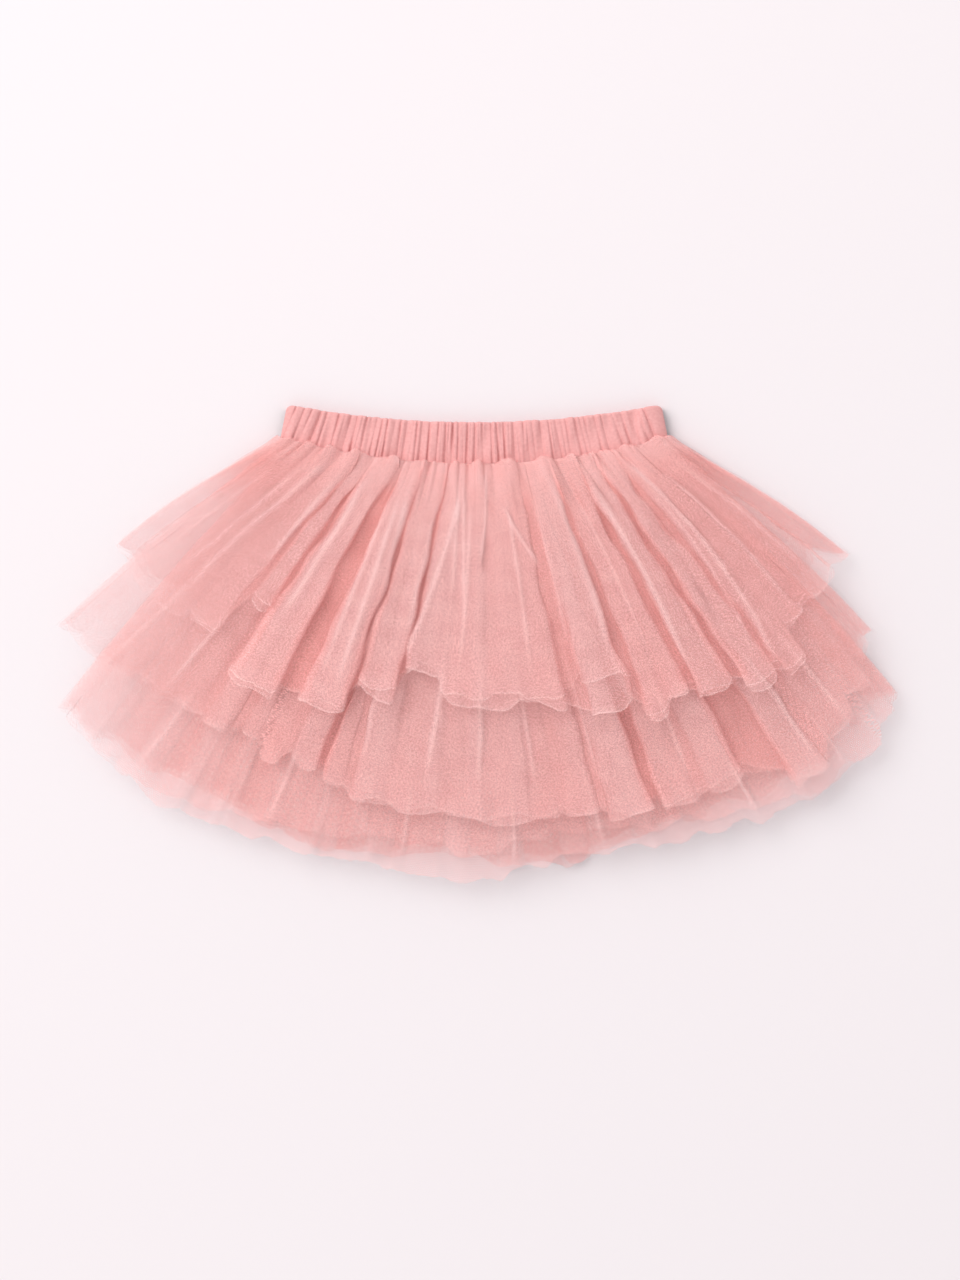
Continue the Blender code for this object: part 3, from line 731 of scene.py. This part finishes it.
def waves(rng, across, down, wavelength, count=WAVE_COUNT):
    """A soft irregular field of about unit height with bumps of about the given wavelength."""
    field = np.zeros_like(across)
    for _ in range(count):
        turn = rng.uniform(0, 2 * np.pi)
        pitch = 2 * np.pi / (wavelength * rng.uniform(*WAVE_SPREAD))
        phase = rng.uniform(0, 2 * np.pi)
        field += np.sin((across * np.cos(turn) + down * np.sin(turn)) * pitch + phase)
    return field * (2.0 / count) ** 0.5


def crease(direction, from_seam, reach, made):
    """The height of one long soft ridge, or below 0 of a trough."""
    along = (from_seam - made.start) / (made.end - made.start)
    line = made.at_start + (made.at_end - made.at_start) * along
    line = line + made.bend * np.sin(np.pi * np.clip(along, 0.0, 1.0))
    off = np.radians(direction - line) * reach / made.half_width
    ends = ease(along / made.fade) * ease((1.0 - along) / made.fade)
    return made.height * np.exp(-off * off) * ends


def scattered(seed, strewn, half, first):
    """Uneven creases strewn over a half, each running down from the waist towards the hem."""
    rng = np.random.default_rng(seed)
    made = []
    for _ in range(strewn.count):
        at = rng.uniform(half.left + CREASE_MARGIN, half.right - CREASE_MARGIN)
        start = rng.uniform(first, first + strewn.start_span)
        end = start + rng.uniform(*strewn.lengths)
        at_end = at + rng.normal(0.0, CREASE_DRIFT)
        height = rng.uniform(*strewn.heights) * rng.choice([-1.0, 1.0], p=[TROUGHS, 1.0 - TROUGHS])
        half_width = rng.uniform(*strewn.half_widths)
        bend = rng.normal(0.0, CREASE_BOW)
        made.append(Crease(at, at_end, start, end, half_width, height, bend, CREASE_FADE))
    return made


def gathers(direction, from_seam):
    """How far the net stands up just below the waist, where it is gathered into the casing."""
    out = seam_share(np.clip(direction, -SIDE, SIDE)) * SEAM_HALF
    phase = out * GATHER_PITCH
    phase = phase + GATHER_WANDER * np.sin(out * GATHER_WANDER_PITCH + GATHER_WANDER_START)
    uneven = 1.0 - GATHER_UNEVEN + GATHER_UNEVEN * np.sin(GATHER_UNEVEN_PITCH * phase)
    puffs = np.abs(np.sin(phase)) ** GATHER_ROUND * uneven
    puffs += SMALL_GATHER * np.abs(np.sin(SMALL_GATHER_PITCH * phase + SMALL_GATHER_START))
    return GATHER_HEIGHT * puffs * ease(from_seam / GATHER_RISE) * bump(from_seam, GATHER_LENGTH)


def swayed(half, direction, share):
    """The directions of a ply's points once its side folds bow out and its long folds sway."""
    bow = SIDE_BOW * 4.0 * share * (1.0 - share) * (direction / SIDE) ** 3
    sway = np.zeros_like(direction)
    rng = np.random.default_rng(half.seed + SWAY_SEED)
    for pitch in SWAY_PITCHES:
        phase = rng.uniform(0.0, 2.0 * np.pi) + rng.uniform(-SWAY_DRIFT, SWAY_DRIFT) * share
        sway += SWAY * SWAY_PITCHES[0] / pitch * np.sin(direction * pitch + phase)
    sway *= np.sin(np.pi * np.clip(share, 0.0, 1.0)) * (1.0 - (direction / SWAY_SIDE) ** 4)
    return direction + bow + sway


# A ply seen from above: the places of its points, their directions and distances from the fan point,
# and their distances from the seam, down the cloth, up from the hem and across the opened folds.
Plan = namedtuple("Plan", "x y direction out from_seam down to_hem across")


def net_plan(half, start, hem, reach, across):
    """The plan of one ply, from the waist seam to its cut hem."""
    ax, ay = seam_point(start, half.inset)
    bx, by = fan_point(hem, reach)
    length = np.hypot(bx - ax, by - ay)
    share = np.linspace(0.0, 1.0, half.down) ** ROW_CROWD
    share = share[:, None] * (1.0 - (SEAM_START + HEM_ROWS[0]) / length) + SEAM_START / length
    last_rows = [1.0 - left / length for left in (*HEM_ROWS[1:], 0.0)]
    share = np.concatenate([share, np.stack(last_rows)])
    x, y = ax + share * (bx - ax), ay + share * (by - ay)
    direction = np.degrees(np.arctan2(x - FAN_X, FAN_Y - y))
    out = np.hypot(x - FAN_X, y - FAN_Y)
    from_seam = np.maximum(out - seam_reach(direction), 0.0)
    x, y = fan_point(swayed(half, direction, share), out)
    across = np.repeat(across[None, :], len(share), axis=0)
    return Plan(x, y, direction, out, from_seam, share * length, (1.0 - share) * length, across)


def net_height(half, front, lift, turned, plan):
    """The middle of the room between a half's two plies, which its folds fill."""
    under, height = slab(half.room, plan.from_seam, plan.direction)
    if not front:
        return under + WALL / 2 + lift * LIFT_SHARE * (height - STACK)
    below, _ = slab(half.room.replace("front", "back"), plan.from_seam, plan.direction)
    foot = below + WALL + SIDE_LAP
    z = under + STACK / 2 + lift * LIFT_SHARE * (height - STACK)
    return z + turned * (foot - z)


def relief(half, front, creases, plan):
    """How far a half's net stands out from its smooth folds, in millimetres."""
    rng = np.random.default_rng(half.seed)
    total = np.zeros_like(plan.direction)
    for made in creases:
        total += crease(plan.direction, plan.from_seam, plan.out, made)
    soft = waves(rng, plan.across, plan.from_seam, SOFT_WAVE_LENGTH)
    total += SOFT_WAVE * soft * ease(plan.from_seam / SOFT_WAVE_FROM)
    stretched = plan.from_seam * FINE_WAVE_STRETCH
    fine = waves(rng, plan.across, stretched, FINE_WAVE_LENGTH, FINE_WAVE_COUNT)
    total += FINE_WAVE * fine * ease(plan.from_seam / FINE_WAVE_FROM)
    ripple = waves(rng, plan.across, plan.from_seam * HEM_RIPPLE_STRETCH, HEM_RIPPLE_LENGTH)
    total += HEM_RIPPLE * ripple * bump(plan.to_hem, HEM_RIPPLE_REACH)
    if front:
        return total + gathers(plan.direction, plan.from_seam)
    return np.maximum(total, 0.0) + BACK_CLEAR


def denser_highlit_lines(tier, plan, edges, tucks):
    """How much of a line each point has, along a cut hem, a folded edge or a ridge, where the net is denser
    and has a painted highlight.
    """
    denser_and_highlit = HEM_LINE[tier] * bump(plan.to_hem, EDGE_WIDTH) + FOLD_LINE[tier] * edges**4
    for made in tucks:
        if made.height > 0.0:
            line = made._replace(half_width=made.half_width * TUCK_WIDTH, height=TUCK_LINE)
            denser_and_highlit += min(1.0, made.height) * crease(plan.direction, plan.from_seam, plan.out, line)
    return denser_and_highlit


def net_looks(made, tier, plan, lift, level, denser_and_highlit, patches):
    """Writes how densely the net covers and how pale it is at each point of a ply, with painted shade in
    fold valleys and a painted highlight along its lines.
    """
    aside = np.abs(plan.direction)
    at_waist = np.exp(-plan.down / GATHERED)
    cover = TUCK_MORE * denser_and_highlit + WAIST_MORE * at_waist + PATCHY * patches
    cover += DENSER[tier] - MID_LESS - RIM_LESS * beyond(aside, RIM_SPAN)
    cover += LIT_SIDE_LESS * np.sign(plan.direction) * beyond(aside, LIT_SPAN)
    cover -= SIDE_LESS * beyond(aside, SIDE_SPAN) * ease(plan.from_seam / SIDE_DOWN)
    cover -= STEEP_LESS[tier] * (1.0 - level) * ease(plan.from_seam / SUNK_FROM)
    cover -= HEM_FADE[tier] * bump(plan.to_hem, HEM_FADING)
    # Painted shade: the pink is painted deeper in a fold's valley.
    sunk = np.clip(1.0 - lift, 0.0, 1.0) * ease(plan.from_seam / SUNK_FROM)
    # Painted highlight: the net is painted paler along hems, folded edges and ridges.
    paleness = PALENESS + HIGHLIGHT_PALER * denser_and_highlit + PATCHY * patches
    paleness -= VALLEY_SHADE * sunk + WAIST_DEEP * at_waist
    point_value(made, "cover", cover)
    point_value(made, "paleness", paleness)


def net_half(name, half, folds, tucks, fine, front, ply):
    """One ply of one half of a tier: an open sheet from the waist seam to its cut hem."""
    picked, across = spread(fold_lines(half, folds, front), half.across)
    start, hem, reach, lift, turned, edges = picked.T
    rng = np.random.default_rng(half.seed + PLY_SEED + ply)
    reach = reach + HEM_RAGGED * waves(rng, across, 0.0 * across, HEM_RAGGED_LENGTH)
    reach = reach + ply_drop(half, hem, ply)
    reach = reach + HEM_SWAY * waves(rng, across, 0.0 * across, HEM_SWAY_LENGTH)
    plan = net_plan(half, start, hem, reach, across)
    points = np.stack([plan.x, plan.y, net_height(half, front, lift, turned, plan)], axis=2)

    near_side = np.clip(np.minimum(across, across[-1] - across) / SIDE_CALM, 0.0, 1.0)
    raised = relief(half, front, tucks + fine, plan) * near_side
    points += normals_of(points) * (raised + ply * PLY)[:, :, None]
    if half.room == "front_top":
        puff = gathers(plan.direction, 0.0 * plan.direction + GATHER_RISE) / GATHER_HEIGHT
        puff *= ease(plan.from_seam / ROW_RISE) * bump(plan.from_seam, ROW_LENGTH)
        points[:, :, 1] += ROW_PUFF * puff
    points[:, :, 2] = np.maximum(points[:, :, 2], FLOOR_CLEAR + PLY * (1 + ply) / 2)

    tier = half.room.split("_")[1]
    made = grid_object(name, points, cloth_place(tier, plan, ply), softened=True)
    level = np.abs(normals_of(points)[:, :, 2])
    denser_and_highlit = denser_highlit_lines(tier, plan, edges, tucks)
    patches = waves(rng, plan.across, plan.down, PATCH_LENGTH)
    net_looks(made, tier, plan, lift, level, denser_and_highlit, patches)

    # Laid flat, a ply narrows from its hem to its gathered edge.
    long, wide = float(np.median(plan.down[-1])), float(across[-1])
    at_waist = 2.0 * SEAM_HALF * GATHER_SLACK
    area = long * (wide + at_waist) / 2.0
    return made, (wide * MM, long * MM), area * MM * MM


def cloth_place(tier, plan, ply):
    """Place on the flat net, turned by its own angle in each ply, in millimetres."""
    turn = np.radians(NET_TURN[tier] + (NET_PLY_TURN if ply < 0 else 0.0))
    u, v = plan.across - plan.across[0].mean(), plan.down
    return np.stack([u * np.cos(turn) - v * np.sin(turn), u * np.sin(turn) + v * np.cos(turn)], axis=2)


def point_value(made, name, values):
    """A number at each point of a mesh, that its material reads by name."""
    layer = made.data.attributes.new(name, "FLOAT", "POINT")
    layer.data.foreach_set("value", values.ravel())


def ply_drop(half, hem, ply):
    """How much further than its folds' table a ply hangs, in the directions of its hem."""
    rows = (UPPER_DROP if ply > 0 else LOWER_DROP).get(half.room, LEVEL_HEM)
    return curve([r.direction for r in rows], [r.drop for r in rows], hem)


def placed(name, data):
    """A new object in the scene."""
    made = bpy.data.objects.new(name, data)
    bpy.context.scene.collection.objects.link(made)
    return made


def grid_object(name, points, cloth, softened=False):
    """An open mesh through a grid of points, with its place on the flat cloth as its UV map."""
    down, across, _ = points.shape
    mesh = bpy.data.meshes.new(name)
    index = np.arange(down * across).reshape(down, across)
    corners = [index[:-1, :-1], index[1:, :-1], index[1:, 1:], index[:-1, 1:]]
    quads = np.stack([c.ravel() for c in corners], axis=1)
    mesh.from_pydata((points.reshape(-1, 3) * MM).tolist(), [], quads.tolist())
    layer = mesh.uv_layers.new(name="cloth")
    layer.uv.foreach_set("vector", (cloth.reshape(-1, 2)[quads.ravel()] * CLOTH_SCALE).ravel())
    mesh.shade_smooth()
    if softened:
        soft = normals_of(points)
        soft[:, :, 2] += SOFTENED / (1.0 - SOFTENED) * np.clip(soft[:, :, 2], 0.0, 1.0) ** 2
        soft /= np.linalg.norm(soft, axis=2, keepdims=True)
        mesh.normals_split_custom_set_from_vertices(soft.reshape(-1, 3).tolist())
    return placed(name, mesh)


def material(name):
    """A new node material and what builds it: its node tree and its shader."""
    made = bpy.data.materials.new(name)
    made.use_nodes = True
    tree = made.node_tree
    return made, tree, tree.nodes["Principled BSDF"]


def math_node(tree, operation, *values):
    """A math node's output, fed with sockets or plain numbers."""
    node = tree.nodes.new("ShaderNodeMath")
    node.operation = operation
    for socket, value in zip(node.inputs, values):
        if isinstance(value, bpy.types.NodeSocket):
            tree.links.new(value, socket)
        else:
            socket.default_value = value
    return node.outputs[0]


def noise(tree, scale, detail, vector):
    """A noise texture's value between about 0.3 and 0.7."""
    node = tree.nodes.new("ShaderNodeTexNoise")
    node.inputs["Scale"].default_value = scale
    node.inputs["Detail"].default_value = detail
    tree.links.new(vector, node.inputs["Vector"])
    return node.outputs["Fac"]


def ramp(tree, value, stops):
    """A colour ramp over (position, colour) stops."""
    node = tree.nodes.new("ShaderNodeValToRGB")
    node.color_ramp.elements[0].position, node.color_ramp.elements[0].color = stops[0]
    node.color_ramp.elements[1].position, node.color_ramp.elements[1].color = stops[-1]
    for position, colour in stops[1:-1]:
        node.color_ramp.elements.new(position).color = colour
    tree.links.new(value, node.inputs[0])
    return node.outputs["Color"]


def point_input(tree, name):
    """The number that point_value wrote under a name."""
    node = tree.nodes.new("ShaderNodeAttribute")
    node.attribute_name = name
    return node.outputs["Fac"]


def cloth_input(tree):
    """The place on the flat cloth: its whole vector, and its two parts."""
    uv = tree.nodes.new("ShaderNodeUVMap")
    uv.uv_map = "cloth"
    parts = tree.nodes.new("ShaderNodeSeparateXYZ")
    tree.links.new(uv.outputs["UV"], parts.inputs[0])
    return uv.outputs["UV"], parts.outputs["X"], parts.outputs["Y"]


def net_material(name):
    """Fine hexagonal net: its holes are see-through, and it is denser where it is gathered."""
    made, tree, shader = material(name)
    place, x, y = cloth_input(tree)
    u = math_node(tree, "MULTIPLY", x, 1.0 / CLOTH_SCALE * NET_PITCH)
    v = math_node(tree, "MULTIPLY", y, 1.0 / CLOTH_SCALE * NET_PITCH)
    half_u = math_node(tree, "MULTIPLY", u, 0.5)
    long_v = math_node(tree, "MULTIPLY", v, 3**0.5 / 2)
    falling = math_node(tree, "COSINE", math_node(tree, "SUBTRACT", long_v, half_u))
    rising = math_node(tree, "COSINE", math_node(tree, "ADD", long_v, half_u))
    slanting = math_node(tree, "ADD", falling, rising)
    weave = math_node(tree, "ADD", math_node(tree, "COSINE", u), slanting)
    thread = math_node(tree, "MULTIPLY_ADD", weave, -NET_SHARP, NET_COVER)
    speckle = noise(tree, SPECKLE_SCALE, 0.0, place)
    loose = math_node(tree, "MULTIPLY_ADD", speckle, SPECKLE, point_input(tree, "cover"))
    alpha = math_node(tree, "MAXIMUM", math_node(tree, "ADD", thread, loose), NET_LEAST)
    tree.links.new(math_node(tree, "MINIMUM", alpha, NET_MOST), shader.inputs["Alpha"])
    # The paleness holds painted shade in fold valleys and a painted highlight along hems, folded edges and
    # ridges, besides the net's own patchy tone.
    paler = math_node(tree, "MULTIPLY_ADD", speckle, SPECKLE_TINT, point_input(tree, "paleness"))
    tint = ramp(tree, paler, [(0.0, DEEP_PINK), (PALE_AT, PALE_PINK), (1.0, HIGHLIGHT_PINK)])
    tree.links.new(tint, shader.inputs["Base Color"])
    shader.inputs["Roughness"].default_value = NET_ROUGHNESS
    shader.inputs["Specular IOR Level"].default_value = 0.0
    return made


def cotton_material(name):
    """Fine cotton jersey: thin ribs of stitches, a little unevenness and a soft sheen."""
    made, tree, shader = material(name)
    place, x, y = cloth_input(tree)
    ribs = math_node(tree, "SINE", math_node(tree, "MULTIPLY", x, COTTON_RIBS / CLOTH_SCALE))
    rows = math_node(tree, "SINE", math_node(tree, "MULTIPLY", y, COTTON_ROWS / CLOTH_SCALE))
    knit = math_node(tree, "MULTIPLY", ribs, rows)
    slub = noise(tree, SLUB_SCALE, SLUB_DETAIL, place)
    bump_node = tree.nodes.new("ShaderNodeBump")
    bump_node.inputs["Strength"].default_value = BUMP_STRENGTH
    bump_node.inputs["Distance"].default_value = BUMP_DISTANCE * MM
    height = math_node(tree, "MULTIPLY_ADD", knit, KNIT_RELIEF, slub)
    tree.links.new(height, bump_node.inputs["Height"])
    tree.links.new(bump_node.outputs[0], shader.inputs["Normal"])
    mixed = math_node(tree, "MULTIPLY_ADD", knit, KNIT_TINT, slub)
    deep_at, pale_at = COTTON_TINTS
    tint = ramp(tree, mixed, [(deep_at, COTTON_DEEP), (pale_at, COTTON_PALE)])
    tree.links.new(tint, shader.inputs["Base Color"])
    shader.inputs["Roughness"].default_value = COTTON_ROUGHNESS
    shader.inputs["Specular IOR Level"].default_value = COTTON_SPECULAR
    shader.inputs["Sheen Weight"].default_value = COTTON_SHEEN
    shader.inputs["Sheen Roughness"].default_value = SHEEN_ROUGHNESS
    return made


def band_point(share, up):
    """Plan point of the waistband: share across it, and up from 0 at the seam to 1 at its top."""
    half = BAND_HALF_SEAM + up * (BAND_HALF_TOP - BAND_HALF_SEAM)
    tall = BAND_HEIGHT + (BAND_END_HEIGHT - BAND_HEIGHT) * share * share
    seam = FAN_Y - SEAM_DROP + SEAM_RISE * (half * share / SEAM_HALF) ** 2
    return FAN_X + half * share, seam + up * tall


def rucks(share, up, front):
    """Height of the rucked cloth above the casing: -1 in a groove and up to about 1 on a puff."""
    out = share * BAND_HALF_SEAM
    rng = np.random.default_rng(FRONT_RUCK_SEED if front else BACK_RUCK_SEED)
    count = len(RUCKS_AT)
    if front:
        places = np.array(RUCKS_AT)
    else:
        even = np.linspace(-RUCK_SPAN, RUCK_SPAN, count)
        places = even + rng.uniform(-RUCK_WANDER, RUCK_WANDER, count)
    small = (places[:-1] + places[1:]) / 2 + rng.uniform(-SMALL_WANDER, SMALL_WANDER, count - 1)
    deepest = np.zeros_like(out)
    for k, place in enumerate(np.concatenate([places, small])):
        main = k < count
        depth = rng.uniform(*(RUCK_DEPTHS if main else SMALL_DEPTHS))
        wide = rng.uniform(*RUCK_WIDTHS)
        lean = RUCK_LEAN * place / BAND_HALF_SEAM + rng.uniform(-RUCK_SLANT, RUCK_SLANT)
        off = (out - place + lean * (up - 0.5)) / wide
        middle = rng.uniform(0.0, 1.0) if main else rng.choice([0.0, 1.0])
        fades = RUCK_FADES if main else SMALL_FADES
        fade = 1.0 - rng.uniform(*fades) * bump(up - middle, RUCK_FADE_LENGTH)
        deepest = np.maximum(deepest, depth * fade * np.exp(-np.abs(off) ** RUCK_SHARP))
    swell = SWELL * waves(rng, out, up * BAND_HEIGHT * SWELL_STRETCH, SWELL_LENGTH)
    return swell * (1.0 - deepest) - deepest


def band_wall(name, front, cloth_material):
    """One wall of the casing, a skin that goes up outside and down inside; its front is rucked."""
    share = np.linspace(-1.0, 1.0, BAND_ACROSS)
    from_end = np.minimum(1.0, (1.0 - np.abs(share)) * BAND_HALF_SEAM / BAND_END)
    rounded = np.sqrt(1.0 - (1.0 - from_end) ** 2)
    if front:
        meet = BAND_WALL + BAND_GAP
        inner = meet + BAND_SLIT * rounded
        outer = meet + BAND_TIP + (BAND_SLIT + BAND_WALL - BAND_TIP) * rounded
    else:
        inner = BAND_WALL + 0.0 * share
        outer = 0.0 * share
    over = np.linspace(LIP_START, np.pi / 2, LIP_ROWS)
    ups = np.concatenate([np.linspace(0.0, LIP_FROM, BAND_ROWS), LIP_FROM + (1.0 - LIP_FROM) * np.sin(over)])
    outwards = np.concatenate([np.ones(BAND_ROWS), np.cos(over) * 0.5 + 0.5])
    up = np.concatenate([ups, ups[-2::-1]])[:, None] + 0.0 * share
    outward = np.concatenate([outwards, 1.0 - outwards[-2::-1]])[:, None]
    shares = share + 0.0 * up
    lie = rucks(shares, up, front)
    into = np.clip((np.abs(share) * BAND_HALF_TOP - BAND_HALF_TOP + BAND_CORNER) / BAND_CORNER, 0.0, 1.0)
    cut = BAND_CORNER * (1.0 - np.sqrt(1.0 - into**2)) / BAND_HEIGHT
    lip = 1.0 + (lie - RUCK_LIP_FROM) * RUCK_LIP - cut
    x, y = band_point(shares, up * lip)
    z = inner + (outer - inner) * outward
    if front:
        z += np.where(lie > 0.0, RUCK_PUFF, RUCK_DEPTH) * lie * rounded * outward
    cloth = np.stack([shares * BAND_HALF_SEAM, up * BAND_HEIGHT], axis=2)
    made = grid_object(name, np.stack([x, y, z], axis=2), cloth)
    made.data.materials.append(cloth_material)
    return made


net = net_material("pink_net")
cotton = cotton_material("pink_cotton")

tiers = [
    ("top_tier_front", TOP_FRONT, TOP_FOLDS, TOP_CREASES),
    ("middle_tier_front", MID_FRONT, MID_FOLDS, MID_CREASES),
    ("bottom_tier_front", LOW_FRONT, LOW_FOLDS, LOW_CREASES),
    ("top_tier_back", TOP_BACK, back_folds(TOP_BACK, count=12, mid_reach=210), []),
    ("middle_tier_back", MID_BACK, back_folds(MID_BACK, count=13, mid_reach=266), []),
    ("bottom_tier_back", LOW_BACK, back_folds(LOW_BACK, count=14, mid_reach=309), []),
]
for node, half, folds, creases in tiers:
    front = "front" in node
    fine = scattered(half.seed, FINE_CREASES, half, SEEN_FROM.get(half.room, 0))
    if half.room == "front_top":
        fine += scattered(half.seed + WAIST_CREASE_SEED, WAIST_CREASES, half, 0)
    for ply, side in ((1, "upper"), (-1, "lower")):
        name = f"{node}_{side}_ply"
        piece, flat, area = net_half(name, half, folds, creases, fine, front, ply)
        piece.data.materials.append(net)
        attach(piece, "root")
        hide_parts(node)

for node, front, other in (
    ("waistband_front", True, "waistband_back"),
    ("waistband_back", False, "bottom_tier_back"),
):
    piece = band_wall(node + "_casing", front, cotton)
    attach(piece, "root")
    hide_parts(node)

window = bpy.data.lights.new("window", "AREA")
window.shape = "SQUARE"
window.size = WINDOW_SIZE
window.energy = KEY_ENERGY
window.color = WINDOW_COLOUR
light = placed("window", window)
light.location = WINDOW_PLACE
aim = -light.location
light.rotation_euler = aim.to_track_quat("-Z", "Y").to_euler()

scene = bpy.context.scene
world = bpy.data.worlds.new("studio")
world.use_nodes = True
background = world.node_tree.nodes["Background"]
background.inputs["Color"].default_value = SKY_COLOUR
background.inputs["Strength"].default_value = SKY
scene.world = world

floor_mesh = bpy.data.meshes.new("table")
corners = [(TABLE_REACH * x, TABLE_REACH * y, 0) for x, y in ((-1, -1), (1, -1), (1, 1), (-1, 1))]
floor_mesh.from_pydata(corners, [], [(0, 1, 2, 3)])
floor = placed("table", floor_mesh)
paper, _, paper_shader = material("white_paper")
paper_shader.inputs["Roughness"].default_value = TABLE_ROUGHNESS
paper_shader.inputs["Base Color"].default_value = TABLE_WHITE
floor_mesh.materials.append(paper)

camera_data = bpy.data.cameras.new("camera")
camera_data.sensor_fit = "VERTICAL"
camera_data.sensor_height = SENSOR
camera_data.lens = SENSOR * CAMERA_HEIGHT / (PHOTO_HEIGHT * PHOTO_SCALE)
camera_data.clip_end = CAMERA_SEES
camera = placed("camera", camera_data)
camera.location = (*CAMERA_OVER, CAMERA_HEIGHT * MM)
scene.camera = camera

scene.view_settings.view_transform = "Standard"
scene.cycles.transparent_max_bounces = 32
scene.cycles.max_bounces = 5
scene.cycles.diffuse_bounces = 3
scene.cycles.adaptive_threshold = 0.03
